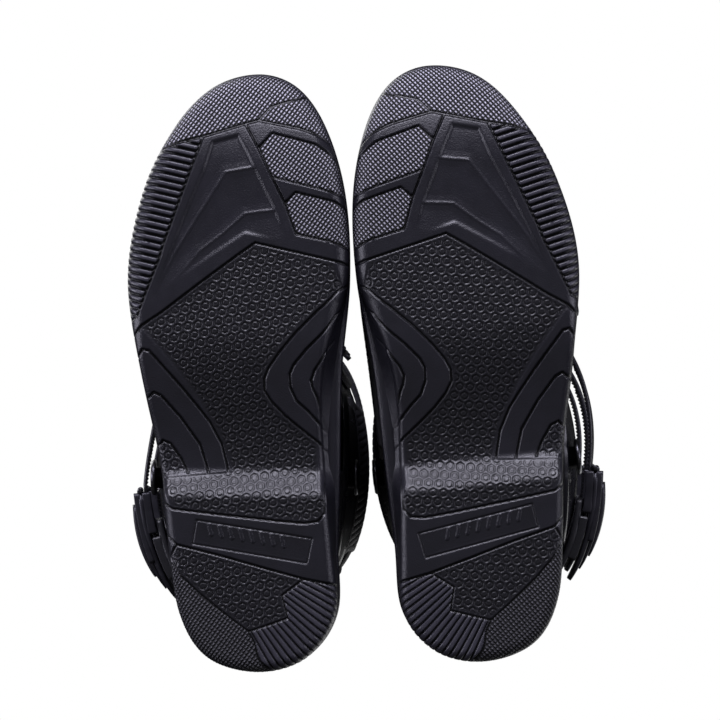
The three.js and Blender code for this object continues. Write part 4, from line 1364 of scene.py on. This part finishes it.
def buckle_base():
    """Satin moulded plastic with an even fine texture."""
    s = Shader("buckle_base")
    s.set(Base_Color=s.mix(s.noise(35.0, 3.0), (0.007, 0.007, 0.009, 1), (0.018, 0.018, 0.022, 1)))
    s.set(Roughness=s.noise(240.0) * 0.16 + 0.32)
    s.bump(s.noise(1300.0, 2.0), 0.00010, 0.6)
    return s.material


def buckle_lever():
    """Black anodised alloy: dark, a little metallic, with fine handling scratches."""
    s = Shader("buckle_lever")
    scratch = s.stretched(240.0, (0.15, 1.0, 1.0))
    s.set(Base_Color=s.mix(scratch, (0.014, 0.014, 0.018, 1), (0.034, 0.033, 0.042, 1)))
    s.set(Metallic=0.35, Roughness=scratch * 0.22 + 0.24)
    s.bump(scratch, 0.00006, 0.5)
    return s.material


def bolt_steel():
    """Blackened steel, worn brighter in small spots."""
    s = Shader("bolt_steel")
    worn = s.noise(220.0, 5.0) ** 3.0
    s.set(Base_Color=s.mix(worn, (0.05, 0.05, 0.055, 1), (0.35, 0.35, 0.37, 1)))
    s.set(Metallic=1.0, Roughness=s.noise(120.0) * 0.15 + 0.25)
    s.bump(worn, 0.00005, 0.5)
    return s.material


FINISHES = (sole_rubber, shell_plastic, panel_plastic, grained_rubber, lining, footbed_foam, board_fibre,
            spring_steel, strap_plastic, buckle_base, buckle_lever, bolt_steel)
MATERIALS = {make.__name__: make() for make in FINISHES}


def dress_frame():
    """Gives each CAD node that stays the finish of its own slot."""
    for part in frame["record"]["subparts"]:
        node = frame["nodes"][part["node"]]
        node.data.materials.clear()
        node.data.materials.append(MATERIALS[part["material_slot"]])


# ---- stage -------------------------------------------------------------------------------

CAMERA_BELOW = 1.5  # from the ground plane down to the camera
CAMERA_TILT = math.radians(1.2)  # the shafts lean to the picture's right
CAMERA_ROLL = math.radians(2.83)  # the toes lean to the picture's left
CAMERA_SPOT = Vector((-0.0018, 0.0039, 0.0))  # ground point in the picture's middle
LENS = 144.5


def make_camera():
    """Looks straight up at the soles from below, with the toes at the picture's top."""
    data = bpy.data.cameras.new("camera")
    data.lens = LENS
    data.sensor_width = 36
    camera = bpy.data.objects.new("camera", data)
    bpy.context.scene.collection.objects.link(camera)
    up = Vector((-math.sin(CAMERA_ROLL), math.cos(CAMERA_ROLL), 0))
    plain_right = up.cross(Vector((0, 0, -1)))
    right = (plain_right * math.cos(CAMERA_TILT) + Vector((0, 0, math.sin(CAMERA_TILT)))).normalized()
    back = right.cross(up).normalized()
    camera.matrix_world = Matrix((
        (right.x, up.x, back.x, CAMERA_SPOT.x + back.x * CAMERA_BELOW),
        (right.y, up.y, back.y, CAMERA_SPOT.y + back.y * CAMERA_BELOW),
        (right.z, up.z, back.z, CAMERA_SPOT.z + back.z * CAMERA_BELOW),
        (0, 0, 0, 1),
    ))
    bpy.context.scene.camera = camera


def area_light(name, place, target, size, power, color=(1, 1, 1)):
    """A soft rectangular light at a place, turned to a target and unseen by the camera."""
    data = bpy.data.lights.new(name, "AREA")
    data.shape = "RECTANGLE"
    data.size, data.size_y = size
    data.energy = power
    data.color = color
    light = bpy.data.objects.new(name, data)
    light.location = place
    aim = Vector(target) - Vector(place)
    light.rotation_euler = aim.to_track_quat("-Z", "Y").to_euler()
    light.visible_camera = False
    bpy.context.scene.collection.objects.link(light)


LILAC = (0.86, 0.84, 1.0)


def make_lights():
    """Low lights beside the soles, so that slopes shine and flats stay dark, an even soft
    light overhead that leaves no reflection, and two weaker ones that shine on the uppers."""
    area_light("toe_light", (0.0, 1.30, -0.80), (0, 0.02, 0), (1.1, 0.7), 36, LILAC)
    area_light("outer_light_1", (1.35, 0.15, -0.40), (0, 0, 0.02), (0.5, 1.2), 14, LILAC)
    area_light("outer_light_2", (-1.35, 0.15, -0.40), (0, 0, 0.02), (0.5, 1.2), 8, LILAC)
    area_light("under_fill", (0.0, -0.5, -1.7), (0, 0, 0), (1.6, 1.6), 1.2)
    overhead = bpy.data.lights.new("overhead", "SUN")
    overhead.energy = 3.75
    overhead.angle = math.radians(70)
    sky = bpy.data.objects.new("overhead", overhead)
    sky.visible_glossy = False
    bpy.context.scene.collection.objects.link(sky)
    area_light("top_key", (1.1, 1.0, 1.5), (0, 0, 0.15), (1.2, 1.2), 16)
    area_light("top_fill", (-1.2, -1.1, 1.2), (0, 0, 0.15), (1.6, 1.6), 12)


WORLD_GLOW = 0.035


def make_world():
    """White to the camera, soft grey to everything else."""
    world = bpy.data.worlds.new("studio")
    bpy.context.scene.world = world
    world.use_nodes = True
    tree = world.node_tree
    background = tree.nodes["Background"]
    path = tree.nodes.new("ShaderNodeLightPath")
    mix = tree.nodes.new("ShaderNodeMix")
    mix.data_type = "FLOAT"
    mix.inputs[2].default_value = WORLD_GLOW
    mix.inputs[3].default_value = 1.0
    tree.links.new(path.outputs["Is Camera Ray"], mix.inputs[0])
    tree.links.new(mix.outputs[0], background.inputs["Strength"])
    background.inputs["Color"].default_value = (1, 1, 1, 1)


def make_floor():
    """A pale floor under the boots, clear when seen from below."""
    mesh = bpy.data.meshes.new("floor")
    half, level = 3.0, CAD_BOX[0].z - MM
    corners = [(-half, -half, level), (half, -half, level), (half, half, level), (-half, half, level)]
    mesh.from_pydata(corners, [], [(0, 1, 2, 3)])
    floor = bpy.data.objects.new("floor", mesh)
    bpy.context.scene.collection.objects.link(floor)
    s = Shader("floor")
    s.set(Base_Color=(0.85, 0.85, 0.85, 1), Roughness=0.7)
    clear = s.tree.nodes.new("ShaderNodeBsdfTransparent")
    side = s.tree.nodes.new("ShaderNodeNewGeometry")
    blend = s.tree.nodes.new("ShaderNodeMixShader")
    s.tree.links.new(side.outputs["Backfacing"], blend.inputs[0])
    s.tree.links.new(s.surface.outputs[0], blend.inputs[1])
    s.tree.links.new(clear.outputs[0], blend.inputs[2])
    s.tree.links.new(blend.outputs[0], s.tree.nodes["Material Output"].inputs["Surface"])
    mesh.materials.append(s.material)
    floor.visible_shadow = False
    floor.visible_diffuse = False
    floor.visible_glossy = False


# ---- the whole ---------------------------------------------------------------------------


def build_boot(side, sheet):
    build_tread(side, sheet)
    build_welt(side)
    for make in (foot_shell, toe_cap, heel_counter, bellows, cuff, collar, shin_plate, calf_plate,
                 burn_guard, ankle_yoke, liner, footbed):
        make(side)
    for lateral in (True, False):
        pivot_bolt(side, lateral)
    if side == "L":
        shift_pad(side)
    for number, buckle in BUCKLES.items():
        receiver(side, number, buckle)
        strap(side, number, buckle)
        lever(side, number, buckle)


bpy.context.scene.view_settings.view_transform = "Standard"
make_camera()
make_lights()
make_world()
make_floor()
dress_frame()
sole_sheet = tread_sheet()
for boot_side in ("R", "L"):
    build_boot(boot_side, sole_sheet)
